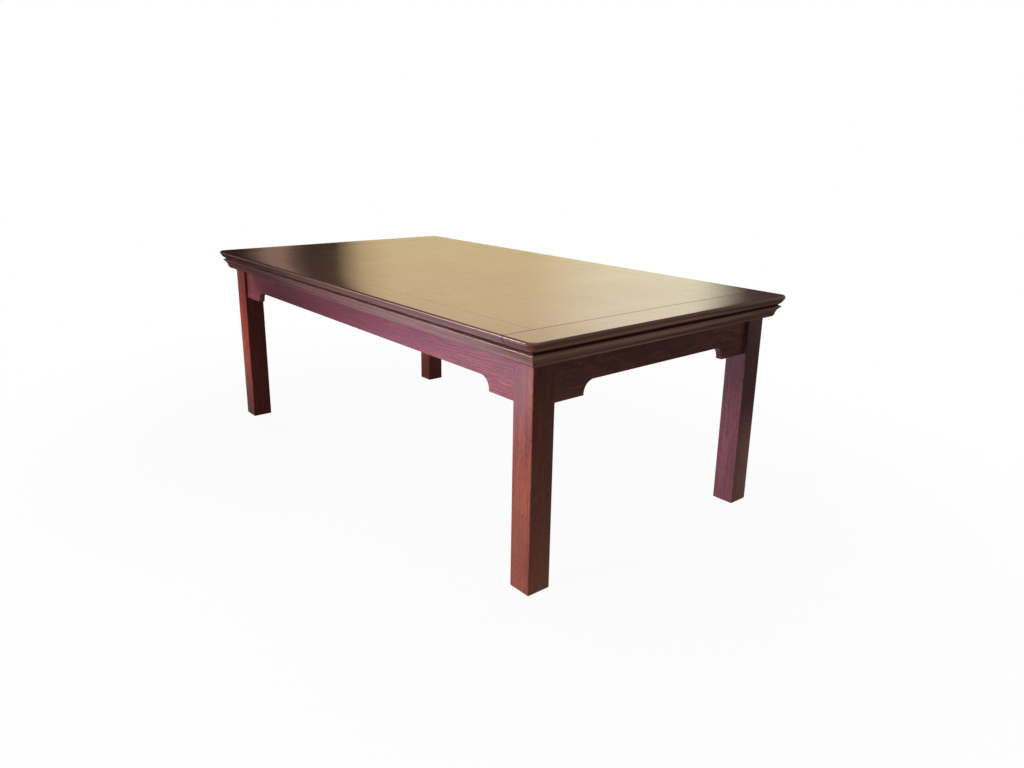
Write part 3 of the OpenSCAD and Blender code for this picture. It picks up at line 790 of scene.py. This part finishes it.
MOULDED = dict(light=(0.330, 0.145, 0.125, 1), dark=(0.145, 0.060, 0.052, 1),
               pore_colour=(0.012, 0.004, 0.004, 1), rough=(0.28, 0.4), coat=1.0, coat_rough=0.15,
               # The cornice's gap over its lip is darkened by painted shade
               specular=0.4, bump=0.2, pooled_in=(GAP_SHADE, {"Level": under_z - LIP_DROP + LIP_ROUND}))
BARE = dict(light=(0.66, 0.48, 0.30, 1), dark=(0.46, 0.30, 0.165, 1), pore_colour=(0.28, 0.17, 0.09, 1),
            rough=(0.55, 0.7), specular=0.3, bump=0.3, cloud_depth=0.15, ring_depth=0.35, pore_depth=0.3)

ZINC = mottled("zinc_plate", (0.66, 0.66, 0.64, 1), (0.48, 0.49, 0.50, 1), (0.22, 0.42), 1.0, 120.0, 900.0,
               0.2)
PLASTIC = mottled("glide_plastic", (0.150, 0.108, 0.075, 1), (0.200, 0.150, 0.108, 1), (0.45, 0.65), 0.0,
                  90.0, 1400.0, 0.25)
BARE_ALONG, BARE_ACROSS, BARE_UPRIGHT = (
    wood(f"bare_wood_{way}", turn, (0.0, 0.0, 0.0), **BARE)
    for way, turn in (("along", ALONG), ("across", ACROSS), ("upright", UPRIGHT)))

# Each side of the table: its turn round the middle, half its length, how far out its edge and the inner
# face of its apron lie, and the turn of its grain
SIDES = {
    "front": (0.0, half_l, half_w, inner_w, ALONG),
    "back": (pi, half_l, half_w, inner_w, ALONG),
    "right": (pi / 2, half_w, half_l, inner_l, ACROSS),
    "left": (-pi / 2, half_w, half_l, inner_l, ACROSS),
}
CORNERS = {"front_left": (-1, -1), "front_right": (1, -1), "back_left": (-1, 1), "back_right": (1, 1)}

screws = {node: screws_of(node) for node in ("cornice_screws", "bearer_screws", "button_screws",
                                             "block_screws")}
buttons = sort_buttons()


# The middle panel, with a chamfer all round for its half of the V lines
def make_field():
    def ring(inset_x, inset_y, z):
        x, y = end_joint - inset_x, side_joint - inset_y
        return [(x, y, z), (-x, y, z), (-x, -y, z), (x, -y, z)]

    material = wood("field_wood", ALONG, (0.3, 0.1, -0.76), **TOP, pith=(0.0, 0.06, -0.42),
                    ring_width=0.008, wander=0.05)
    piece = loft("field", [ring(0, 0, under_z), ring(0, 0, top_z - V_DEPTH), ring(V_DEPTH, SIDE_V, top_z)],
                 material, 20)
    finish_piece(piece, "top_wood", "top_field")


# A long board beside the field; side is -1 for the front and 1 for the back
def make_side_board(label, side, shift):
    v_low = top_z - V_DEPTH
    outline = [(side_joint, under_z), (side_joint, v_low), (side_joint + SIDE_V, top_z)]
    outline += [(half_w - p.x, top_z - p.y) for p in EDGE]
    rings = [[(x, side * y, min(z, limit)) for y, z in outline]
             for x, limit in ((-end_joint, v_low), (V_DEPTH - end_joint, top_z),
                              (end_joint - V_DEPTH, top_z), (end_joint, v_low))]
    material = wood(f"side_board_{label}_wood", ALONG, shift, **TOP, pith=(0.0, side * 0.45, -0.5),
                    ring_width=0.007, wander=0.04)
    finish_piece(loft(f"side_board_{label}", rings, material, 28), "top_wood", f"top_side_{label}")


# An end board with two rounded corners; side is -1 for the left and 1 for the right
def make_end_board(label, side, shift):
    def path(inset, depth):
        r, z = CORNER_R - inset, top_z - depth
        y = half_w - inset
        half = [(end_joint, y, min(z, top_z - V_DEPTH)), (end_joint + V_DEPTH, y, z)]
        half += [(half_l - CORNER_R + r * x, half_w - CORNER_R + r * y, z) for x, y in reversed(arc(14))]
        return [(x, -y, z) for x, y, z in half] + half[::-1]

    rows = [path(p.x, p.y) for p in EDGE]
    count = len(rows[0])
    last = (len(rows) - 1) * count
    starts = list(range(0, last + 1, count))
    faces = grid_faces(len(rows), count, len(rows) - 1)
    faces += [tuple(range(1, count - 1)), (0, 1, count - 2, count - 1), tuple(range(last, last + count)),
              tuple(starts + [s + count - 1 for s in reversed(starts)])]
    material = wood(f"end_board_{label}_wood", ACROSS, shift, **TOP, pith=(0.0, 0.3, -0.55),
                    ring_width=0.007, wander=0.04)
    piece = mesh_piece(f"end_board_{label}", [(side * x, y, z) for row in rows for x, y, z in row], faces,
                       material, 28)
    pins = [ends_of(solid, -DOWN) for solid in solids_of("end_pins")]
    cut(piece, [hole(low + DOWN * PIN_OVER, high, PIN_HOLE_R) for low, high in pins if low.x * side > 0], 28)
    finish_piece(piece, "top_wood", f"top_end_{label}")


# A length of the moulding under the top, with the holes that lead to its screws
def make_cornice(label, shift):
    turn, half_length, outer, _, grain_turn = SIDES[label]
    points = [(0, p.x - outer, top_z - p.y) for p in CORNICE]
    outline = new_mesh(f"cornice_{label}_outline", points, [tuple(range(len(points)))])
    material = wood(f"cornice_{label}_wood", grain_turn, shift, **MOULDED, pith=(0.0, 0.2, -0.3),
                    ring_width=0.005, wander=0.03)
    piece = grow(f"moulding_{label}", outline, MOULDING,
                 {"Half Length": half_length, "Outer Edge": outer, "Turn": turn, "Material": material})
    inwards = Matrix.Rotation(turn, 3, "Z") @ Vector((0, 1, 0))
    drill(piece, "cornice_screws", ACCESS_L, lambda head: head.dot(inwards) < CORNICE_REACH - outer)
    finish_piece(piece, "cornice_wood", f"cornice_{label}")


# Outline of an apron of half length l with its wood cut back by e, from one shoulder to the other
def apron_outline(l, e):
    foot = front_low.z
    r = APRON_Z - foot - BRACKET_NIB
    half_open = l - BRACKET_L
    half = [(l, foot + e), (half_open + e, foot + e)]
    half += [(half_open - r + (r + e) * x, APRON_Z - r + (r + e) * y) for x, y in arc(14)]
    return [(l, under_z)] + half + [(-x, z) for x, z in reversed(half)] + [(-l, under_z)]


# An apron between two legs, with the slots for its buttons
def make_apron(label, shift):
    turn, half_length, _, inner, grain_turn = SIDES[label]
    l, out = half_length - overhang - leg_w, inner + apron_t / 2
    eases = [(APRON_EASE * (1 - y) - apron_t / 2, APRON_EASE * (1 - x)) for x, y in arc(4)]
    around = Matrix.Rotation(turn, 3, "Z")
    solid = [[around @ Vector((x, y - out, z)) for x, z in apron_outline(l, e)]
             for y, e in eases[::-1] + [(-y, e) for y, e in eases]]
    material = wood(f"apron_{label}_wood", grain_turn, shift, **APRON)
    piece = loft(f"apron_{label}_board", solid, material, 30)
    slots = []
    for low, high, way in buttons[label]:
        across = way.cross(DOWN)
        side = across * (abs((high - low).dot(across)) / 2 + SLOT_SIDE)
        lip_top = button_place(low, high, way) + DOWN * (BUTTON_LIP_DROP - SLOT_UP)
        ends = [lip_top + side - way * (BUTTON_LIP + SLOT_END),
                lip_top - side + way * SLOT_OPEN + DOWN * (BUTTON_LIP_T + 2 * SLOT_UP)]
        slots.append(box_rings(*box_of(ends)))
    cut(piece, slots, 30)
    finish_piece(piece, "frame_wood", f"apron_{label}")


# Where a button meets the apron's inner face under the top
def button_place(low, high, way):
    middle = (low + high) / 2
    if abs(way.y) > 0.5:
        return Vector((middle.x, -way.y * inner_w, under_z))
    return Vector((-way.x * inner_l, middle.y, under_z))


# Cross section of the front right leg: a square with rounded corners, the inner one cut flat if asked
def leg_section(inset, flat):
    side = leg_w / 2 - inset
    c = side - LEG_EASE
    corners = []
    for turn, (sx, sy) in enumerate([(1, 1), (-1, 1), (-1, -1), (1, -1)]):
        if flat and turn == 1:
            first, last = Vector((LEG_FLAT - side, side)), Vector((-side, side - LEG_FLAT))
            corners += [first.lerp(last, i / 5) for i in range(6)]
        else:
            corners += [Vector((sx * c + LEG_EASE * x, sy * c + LEG_EASE * y))
                        for x, y in arc(5, pi / 2 * turn)]
    return corners


# A leg at one corner, mirrored from the front right one by the signs
def make_leg(label, shift, look):
    sx, sy = CORNERS[label]
    middle = Vector((half_l - overhang - leg_w / 2, overhang + leg_w / 2 - half_w))
    flat_low, flat_high = block_low.z - FLAT_OVER, block_high.z + FLAT_OVER
    levels = [(leg_low.z + FOOT_EASE * (1 - x), FOOT_EASE * (1 - y), False) for x, y in arc(3)]
    levels += [(flat_low, 0, False), (flat_low, 0, True), (flat_high, 0, True), (flat_high, 0, False),
               (leg_high.z, 0, False)]
    rings = [[(sx * (middle.x + p.x), -sy * (middle.y + p.y), z) for p in leg_section(inset, flat)]
             for z, inset, flat in levels]
    material = wood(f"leg_{label}_wood", UPRIGHT, shift, **{**LEG, **look})
    finish_piece(loft(f"leg_{label}_post", rings, material, 30), "frame_wood", f"leg_{label}")


# A corner block: a wedge-ended bar across the corner, with the holes that lead to its screws
def make_block(label):
    sx, sy = CORNERS[label]
    low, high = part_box(f"corner_block_{label}")
    far = high.x - low.x
    near = far - BLOCK_T * sqrt(2)
    plan = ((0, near), (0, far), (far, 0), (near, 0))
    rings = [[(sx * (inner_l - u), sy * (inner_w - v), z) for u, v in plan] for z in (low.z, high.z)]
    piece = loft(f"glue_block_{label}", rings, BARE_UPRIGHT)
    ease_edges(piece, BLOCK_EASE)
    drill(piece, "block_screws", BLOCK_ACCESS_L, lambda head: head.x * sx > 0 and head.y * sy > 0)
    finish_piece(piece, "inner_wood", f"corner_block_{label}")


# A cross bearer with eased edges and the holes that lead to its screws
def make_bearer(label):
    low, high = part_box(f"bearer_{label}")
    rings = box_rings(Vector((low.x, -inner_w, low.z)), Vector((high.x, inner_w, under_z)))
    piece = loft(f"cross_bearer_{label}", rings, BARE_ACROSS)
    ease_edges(piece, BEARER_EASE)
    drill(piece, "bearer_screws", ACCESS_L, lambda head: low.x < head.x < high.x)
    finish_piece(piece, "inner_wood", f"bearer_{label}")


def make_screws(node):
    name = node.replace("screws", "fixings")
    length = (screws[node][0][1] - screws[node][0][0]).length
    mesh = points_mesh(name, [(head, (tip - head).normalized()) for head, tip in screws[node]])
    piece = grow(name, mesh, SCREWS, {"Length": length, "Head Radius": HEAD_R, "Material": ZINC}, 40)
    finish_piece(piece, "zinc_steel", node)


# The bolts, washers and nuts on the diagonals of the corners
def make_corner_fixings():
    found = {}
    for node in ("corner_bolts", "bolt_washers", "bolt_nuts"):
        for solid in solids_of(node):
            inwards = Vector([-copysign(1, solid[0][i]) for i in (0, 1)]).to_3d().normalized()
            found.setdefault(node, []).append((*ends_of(solid, inwards), inwards))
    for name, node, tree, edge, values in (
            ("hanger_bolts", "corner_bolts", SCREWS, 0, {
                "Shank Radius": BOLT_R, "Head Radius": BOLT_R, "Head Height": 0.0008, "Pitch": 0.00125,
                "Head": False}),
            ("washers", "bolt_washers", RINGS, 0.0003, {"Sides": 48, "Radius": 0.012, "Hole Radius": 0.0045}),
            ("nuts", "bolt_nuts", RINGS, 0.0006, {
                "Sides": 6, "Radius": 0.0065 / cos(pi / 6), "Hole Radius": 0.0041})):
        length = (found[node][0][1] - found[node][0][0]).length
        starts = [(b, -way) if tree == SCREWS else (a, way) for a, b, way in found[node]]
        piece = grow(name, points_mesh(name, starts), tree,
                     {**values, "Length": length, "Height": length, "Material": ZINC}, 40)
        if edge:
            ease_edges(piece, edge)
        finish_piece(piece, "zinc_steel", node)


def make_buttons():
    places = [(button_place(low, high, way), way) for found in buttons.values() for low, high, way in found]
    low, high, way = buttons["front"][0]
    height = under_z - low.z
    piece = grow("top_buttons", points_mesh("top_buttons", places), BUTTONS,
                 {"Width": high.x - low.x, "Length": high.y + inner_w, "Height": height,
                  "Lip Length": BUTTON_LIP, "Lip Thickness": BUTTON_LIP_T, "Lip Drop": BUTTON_LIP_DROP,
                  "Hole Radius": HOLE_R, "Hole Place": BUTTON_HOLE,
                  "Hole Depth": height - SCREW_GRIP + HEAD_PLAY, "Material": BARE_ALONG})
    ease_edges(piece, BUTTON_EASE)
    finish_piece(piece, "inner_wood", "table_buttons")


# A floor glide: a dished plastic disc with a raised rim, turned round the leg's middle line
def make_glide(label):
    low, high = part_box(f"glide_{label}")
    middle = (low + high) / 2
    r, h = (high.x - low.x) / 2, high.z - low.z
    profile = [(0.0, 0.0018), (0.0038, 0.0018), (0.0046, 0.0012), (0.0055, 0.0004), (0.0068, 0.0)]
    profile += [(r - GLIDE_RIM + GLIDE_RIM * y, GLIDE_RIM - GLIDE_RIM * x) for x, y in arc(6)]
    profile += [(r, h), (0.0, h)]
    sides = 48
    points = [(middle.x + out * x, middle.y + out * y, low.z + z)
              for x, y in arc(sides, 0.0, tau)[:-1] for out, z in profile]
    piece = mesh_piece(f"floor_glide_{label}", points, grid_faces(sides, len(profile), sides), PLASTIC, 40)
    finish_piece(piece, "glide_plastic", f"glide_{label}")


# Camera of the photograph, found from the table's edges: place, heading, tilt, roll and focal length
CAMERA_AT = Vector((2.4723, -1.8308, 1.2312))
HEADING, TILT, ROLL = 2.4320, -0.2763, 0.0192
FOCAL_PX = 780.88
CENTRE_PX = (519.65, 368.04)
PHOTO_W, PHOTO_H = 1024, 768
SENSOR_MM = 36.0
FLOOR_HALF = 30


def make_camera():
    data = bpy.data.cameras.new("camera")
    camera = new_object("camera", data)
    bpy.context.scene.camera = camera
    camera.matrix_world = Matrix.Translation(CAMERA_AT)
    for angle, axis in ((HEADING - pi / 2, "Z"), (TILT + pi / 2, "X"), (ROLL, "Z")):
        camera.matrix_world @= Matrix.Rotation(angle, 4, axis)
    data.sensor_fit = "HORIZONTAL"
    data.sensor_width = SENSOR_MM
    data.lens = FOCAL_PX / PHOTO_W * SENSOR_MM
    data.shift_x = (PHOTO_W / 2 - CENTRE_PX[0]) / PHOTO_W
    data.shift_y = (CENTRE_PX[1] - PHOTO_H / 2) / PHOTO_W


# One for rays that come from the camera, a gloss or glass, none for the light on matt surfaces
def seen_rays(tree):
    path = add("ShaderNodeLightPath", tree=tree).outputs
    return sums("MAXIMUM", path["Is Camera Ray"],
                sums("MAXIMUM", path["Is Glossy Ray"], path["Is Transmission Ray"]))


# Gives a stage piece the shader that is made from its tree and its place coordinates
def set_stage(piece, name, make_shader):
    material, _, place = new_material(name)
    tree = material.node_tree
    tree.nodes.remove(tree.nodes["Principled BSDF"])
    feed(tree.nodes["Material Output"].inputs, {"Surface": make_shader(tree, place)})
    piece.data.materials.append(material)


# A floor whose own shade shows near the table and that turns plain white further out. From below it is
# clear, so that the underside of the table can be looked at.
def make_floor():
    def pale(tree, place):
        seen = seen_rays(tree)
        matte = result("ShaderNodeBsdfDiffuse", {"Color": fade(seen, 0.32, 0.95)})
        glow = result("ShaderNodeEmission", {"Color": (1, 1, 1, 1), "Strength": 1.0}, tree)
        share = times(seen, ramp(length_of(place, (0.75, 1.0, 0.0)), 0.7, 2.2, 0.95, 1.0))
        blend = result("ShaderNodeMixShader", {0: share, 1: matte, 2: glow})
        below = add("ShaderNodeNewGeometry", tree=tree).outputs["Backfacing"]
        clear = result("ShaderNodeBsdfTransparent", tree=tree)
        return result("ShaderNodeMixShader", {0: below, 1: blend, 2: clear})

    corners = [(x * FLOOR_HALF, y * FLOOR_HALF, 0) for x, y in ((-1, -1), (1, -1), (1, 1), (-1, 1))]
    floor = new_object("floor", new_mesh("floor", corners, [(0, 1, 2, 3)]))
    set_stage(floor, "pale_floor", pale)


def make_world():
    world = bpy.data.worlds.new("studio")
    bpy.context.scene.world = world
    world.use_nodes = True
    tree = world.node_tree
    feed(tree.nodes["Background"].inputs,
         {"Strength": fade(seen_rays(tree), 0.055, 1.0), "Color": (1, 1, 1, 1)})


# Painted reflections: what the lacquer mirrors are glowing screens that only glossy rays see, in linear
# colours by the angle round the table in degrees. The walls have warm panels behind the table and dark
# screens at both their ends. The near part of the carpet glow shows in the legs and the cove, and the far
# part in the front apron as a painted bluish sheen.
WALL_GLOW = [
    (-180, 0.02, 0.01, 0.012), (-164, 0.02, 0.01, 0.012), (-150, 0.14, 0.09, 0.09),
    (-100, 0.14, 0.09, 0.09), (-80, 0.6, 0.45, 0.32), (0, 0.7, 0.5, 0.4), (30, 0.65, 0.45, 0.36),
    (60, 0.45, 0.27, 0.2), (95, 0.3, 0.17, 0.13), (104, 0.05, 0.035, 0.035), (113, 0.05, 0.035, 0.035),
    (117.5, 1.42, 1.29, 0.97), (128, 1.34, 1.16, 0.8), (136, 1.1, 0.83, 0.48), (151.5, 1.1, 0.83, 0.48),
    (154.5, 0.92, 0.66, 0.36), (157.5, 0.035, 0.025, 0.018), (161.3, 0.035, 0.025, 0.018),
    (162.8, 0.42, 0.26, 0.2), (165, 0.42, 0.26, 0.2), (166.5, 0.02, 0.01, 0.012),
]
WALL_R, WALL_LOW, WALL_HIGH = 6.0, 0.3, 8.0
LOW_SCALE, HIGH_SCALE = Vector((0.74, 0.77, 0.70)), Vector((1.16, 1.12, 1.20))
CARPET_Z = 0.0005
CARPET_GLOW_NEAR = [
    (-180, 0.06, 0.04, 0.03), (-168, 0.06, 0.04, 0.03), (-161, 0.25, 0.16, 0.15), (-154, 0.35, 0.25, 0.25),
    (-148, 0.4, 0.3, 0.32), (-140, 0.5, 0.42, 0.48), (-92, 0.62, 0.52, 0.58), (-83, 0.6, 0.42, 0.38),
    (-74, 0.3, 0.2, 0.2), (-60, 0.32, 0.19, 0.16), (-52, 0.65, 0.34, 0.22), (-45, 0.65, 0.34, 0.22),
    (-20, 0.5, 0.25, 0.18), (10, 0.33, 0.17, 0.12), (30, 0.42, 0.24, 0.18), (60, 0.52, 0.3, 0.24),
    (90, 0.1, 0.06, 0.05),
]
CARPET_GLOW_FAR = [
    (-180, 0.02, 0.015, 0.015), (-153, 0.02, 0.012, 0.02), (-145, 0.12, 0.08, 0.18),
    (-136, 0.4, 0.3, 0.58), (-128, 0.75, 0.6, 1.2), (-119, 1.0, 0.85, 1.45), (-112, 1.65, 1.4, 1.95),
    (-104, 2.3, 1.8, 2.45), (-97, 1.95, 1.6, 2.1), (-88, 0.9, 0.7, 0.8), (-80, 0.35, 0.25, 0.25),
    (-60, 0.12, 0.08, 0.06), (90, 0.12, 0.08, 0.06),
]
# The glowing window pane in the wall, seen only in reflections, which paints the highlights on the moulded
# edges: from angle to angle, from height to height
WINDOW_FROM, WINDOW_TO, WINDOW_LOW, WINDOW_HIGH = -160, -119, 2.3, 4.2
WINDOW_LIGHT = [
    (-160, 0.5, 0.35, 0.3), (-154, 1.0, 0.7, 0.6), (-150, 7.0, 5.4, 4.3), (-144, 9.0, 7.5, 6.6),
    (-139, 10.0, 9.2, 9.4), (-134, 15.0, 14.5, 16.0), (-124, 17.0, 16.5, 18.0), (-121, 4.0, 3.8, 4.2),
    (-119, 1.0, 1.0, 1.0),
]
# An upright glowing sheet in the walls' colours that only reflections see, just before the table's front
# edge, which keeps the window's painted highlight off the top and lets it reach the moulded edges: its two
# ends along the table, its distance, and its lower and upper edge
FLAG_FROM, FLAG_TO, FLAG_AT, FLAG_LOW, FLAG_HIGH = -6.0, 0.95, -0.70, 0.85, 3.5
# Weighted axes and span of distances over which each screen's colours go from one ring to the other
BY_HEIGHT = (0, 0, 1), (1.3, 2.6)
BY_DISTANCE = (0.6, 1, 0), (1.2, 1.6)


# A ring of colours by the angle, as a node output
def colours_round(angle, stops):
    made = add("ShaderNodeValToRGB", {"Fac": angle})
    line = made.color_ramp.elements
    line[0].color = line[1].color = (*stops[0][1:], 1)
    for degrees, *colour in stops[1:]:
        line.new(degrees / 360 + 0.5).color = (*colour, 1)
    return made.outputs["Color"]


# A glowing screen that only reflections see: a painted reflection, not a lamp
def make_screen(name, points, faces, weights, span, *rings):
    def glowing(tree, place):
        spot = parts(place)
        angle = plus(sums("DIVIDE", sums("ARCTAN2", spot["Y"], spot["X"]), tau), 0.5)
        share = ramp(length_of(place, weights), *span, kind="LINEAR")
        glow = mix_colour(share, *(colours_round(angle, stops) for stops in rings))
        return result("ShaderNodeEmission", {"Color": glow, "Strength": 1.0})

    screen = new_object(name, new_mesh(name, points, faces))
    set_stage(screen, name + "_glow", glowing)
    screen.visible_camera = screen.visible_diffuse = screen.visible_shadow = False


# Points and faces of an upright screen round the middle of the table, between two angles in degrees
def curved_screen(radius, start, end, low, high, sides):
    around = arc(sides, radians(start), radians(end - start))
    points = [(radius * x, radius * y, z) for z in (low, high) for x, y in around]
    return points, [(i, sides + 1 + i, sides + 2 + i, i + 1) for i in range(sides)]


def make_reflection_screens():
    low, high = ([(angle, *(Vector(colour) * scale)) for angle, *colour in WALL_GLOW]
                 for scale in (LOW_SCALE, HIGH_SCALE))
    walls = curved_screen(WALL_R, -180, 180, WALL_LOW, WALL_HIGH, 96)
    make_screen("studio_walls", *walls, *BY_HEIGHT, low, high)
    points = [(WALL_R * x, WALL_R * y, CARPET_Z) for x, y in arc(96, 0.0, tau)[:-1]]
    make_screen("studio_carpet", points, [tuple(range(96))], *BY_DISTANCE, CARPET_GLOW_NEAR, CARPET_GLOW_FAR)
    flag = [(x, FLAG_AT, z) for x, z in ((FLAG_FROM, FLAG_LOW), (FLAG_TO, FLAG_LOW), (FLAG_TO, FLAG_HIGH),
                                         (FLAG_FROM, FLAG_HIGH))]
    make_screen("studio_flag", flag, [(0, 1, 2, 3)], *BY_HEIGHT, low, high)
    pane = curved_screen(WALL_R - 0.1, WINDOW_FROM, WINDOW_TO, WINDOW_LOW, WINDOW_HIGH, 12)
    make_screen("studio_window", *pane, *BY_HEIGHT, WINDOW_LIGHT, WINDOW_LIGHT)


def make_lamp(name, place, target, width, height, power, colour, spread=180):
    data = bpy.data.lights.new(name, "AREA")
    data.spread = radians(spread)
    data.shape = "RECTANGLE"
    data.size, data.size_y = width, height
    data.energy = power
    data.color = colour
    lamp = new_object(name, data)
    lamp.location = place
    lamp.rotation_euler = (Vector(target) - Vector(place)).to_track_quat("-Z", "Y").to_euler()
    lamp.visible_glossy = False


make_field()
make_side_board("front", -1, (0.1, 0.7, -0.76))
make_side_board("back", 1, (1.4, -0.5, -0.76))
make_end_board("left", -1, (0.4, 0.9, -0.76))
make_end_board("right", 1, (2.1, -0.8, -0.76))
for label, shift in (("front", (0.2, 0.6, -0.7)), ("back", (1.1, -0.5, -0.7)), ("right", (0.7, -0.9, -0.7)),
                     ("left", (1.9, 1.1, -0.7))):
    make_cornice(label, shift)
for label, shift in (("front", (0.0, 0.5, -0.66)), ("back", (0.9, -0.5, -0.66)),
                     ("right", (0.5, -1.0, -0.66)), ("left", (1.5, 1.0, -0.66))):
    make_apron(label, shift)

# The legs' stains differ: the back right leg's purple is partly a painted bluish sheen, and the front left
# leg's orange-red is partly painted warm light
make_leg("front_right", (0.3, 0.49, 0.97), dict(light=(0.460, 0.128, 0.078, 1)))
make_leg("front_left", (1.3, 0.49, -0.97), dict(light=(0.370, 0.085, 0.056, 1), dark=(0.150, 0.034, 0.028, 1),
                                                coat=0.05, specular=0.15))
make_leg("back_right", (2.3, -0.49, 0.97), dict(light=(0.370, 0.140, 0.200, 1),
                                                dark=(0.160, 0.058, 0.086, 1)))
make_leg("back_left", (3.3, -0.49, -0.97), {})
for label in CORNERS:
    make_block(label)
    make_glide(label)
for label in ("left", "middle", "right"):
    make_bearer(label)
make_buttons()
for node in screws:
    make_screws(node)
make_corner_fixings()

# Wood for the CAD nodes that stay as they are
for material, nodes in ((BARE_ALONG, ("tongue_front", "tongue_back")),
                        (BARE_ACROSS, ("tongue_left", "tongue_right")), (BARE_UPRIGHT, ("end_pins",))):
    for node in nodes:
        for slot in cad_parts[node].material_slots:
            slot.material = material

make_camera()
make_floor()
make_world()
make_reflection_screens()
make_lamp("window", (0.15, -3.2, 0.95), (0.75, -0.5, 0.33), 1.2, 1.2, 13.0, (1.0, 0.95, 0.96), 64)
make_lamp("low_spot", (-1.3, -3.0, 0.35), (-0.97, -0.53, 0.40), 0.3, 0.5, 0.8, (1.0, 0.90, 0.80), 14)
make_lamp("left", (-4.4, 0.3, 1.0), (0, 0, 0.5), 2.4, 1.4, 60, (1.0, 0.97, 0.94))
make_lamp("back", (-1.0, 4.2, 1.0), (0, 0, 0.5), 2.8, 1.4, 80, (1.0, 0.97, 0.94))
make_lamp("ceiling", (0, 0.5, 4.2), (0, 0, 0), 3.0, 2.4, 7, (1.0, 0.98, 0.95))

bpy.context.scene.view_settings.view_transform = "Standard"
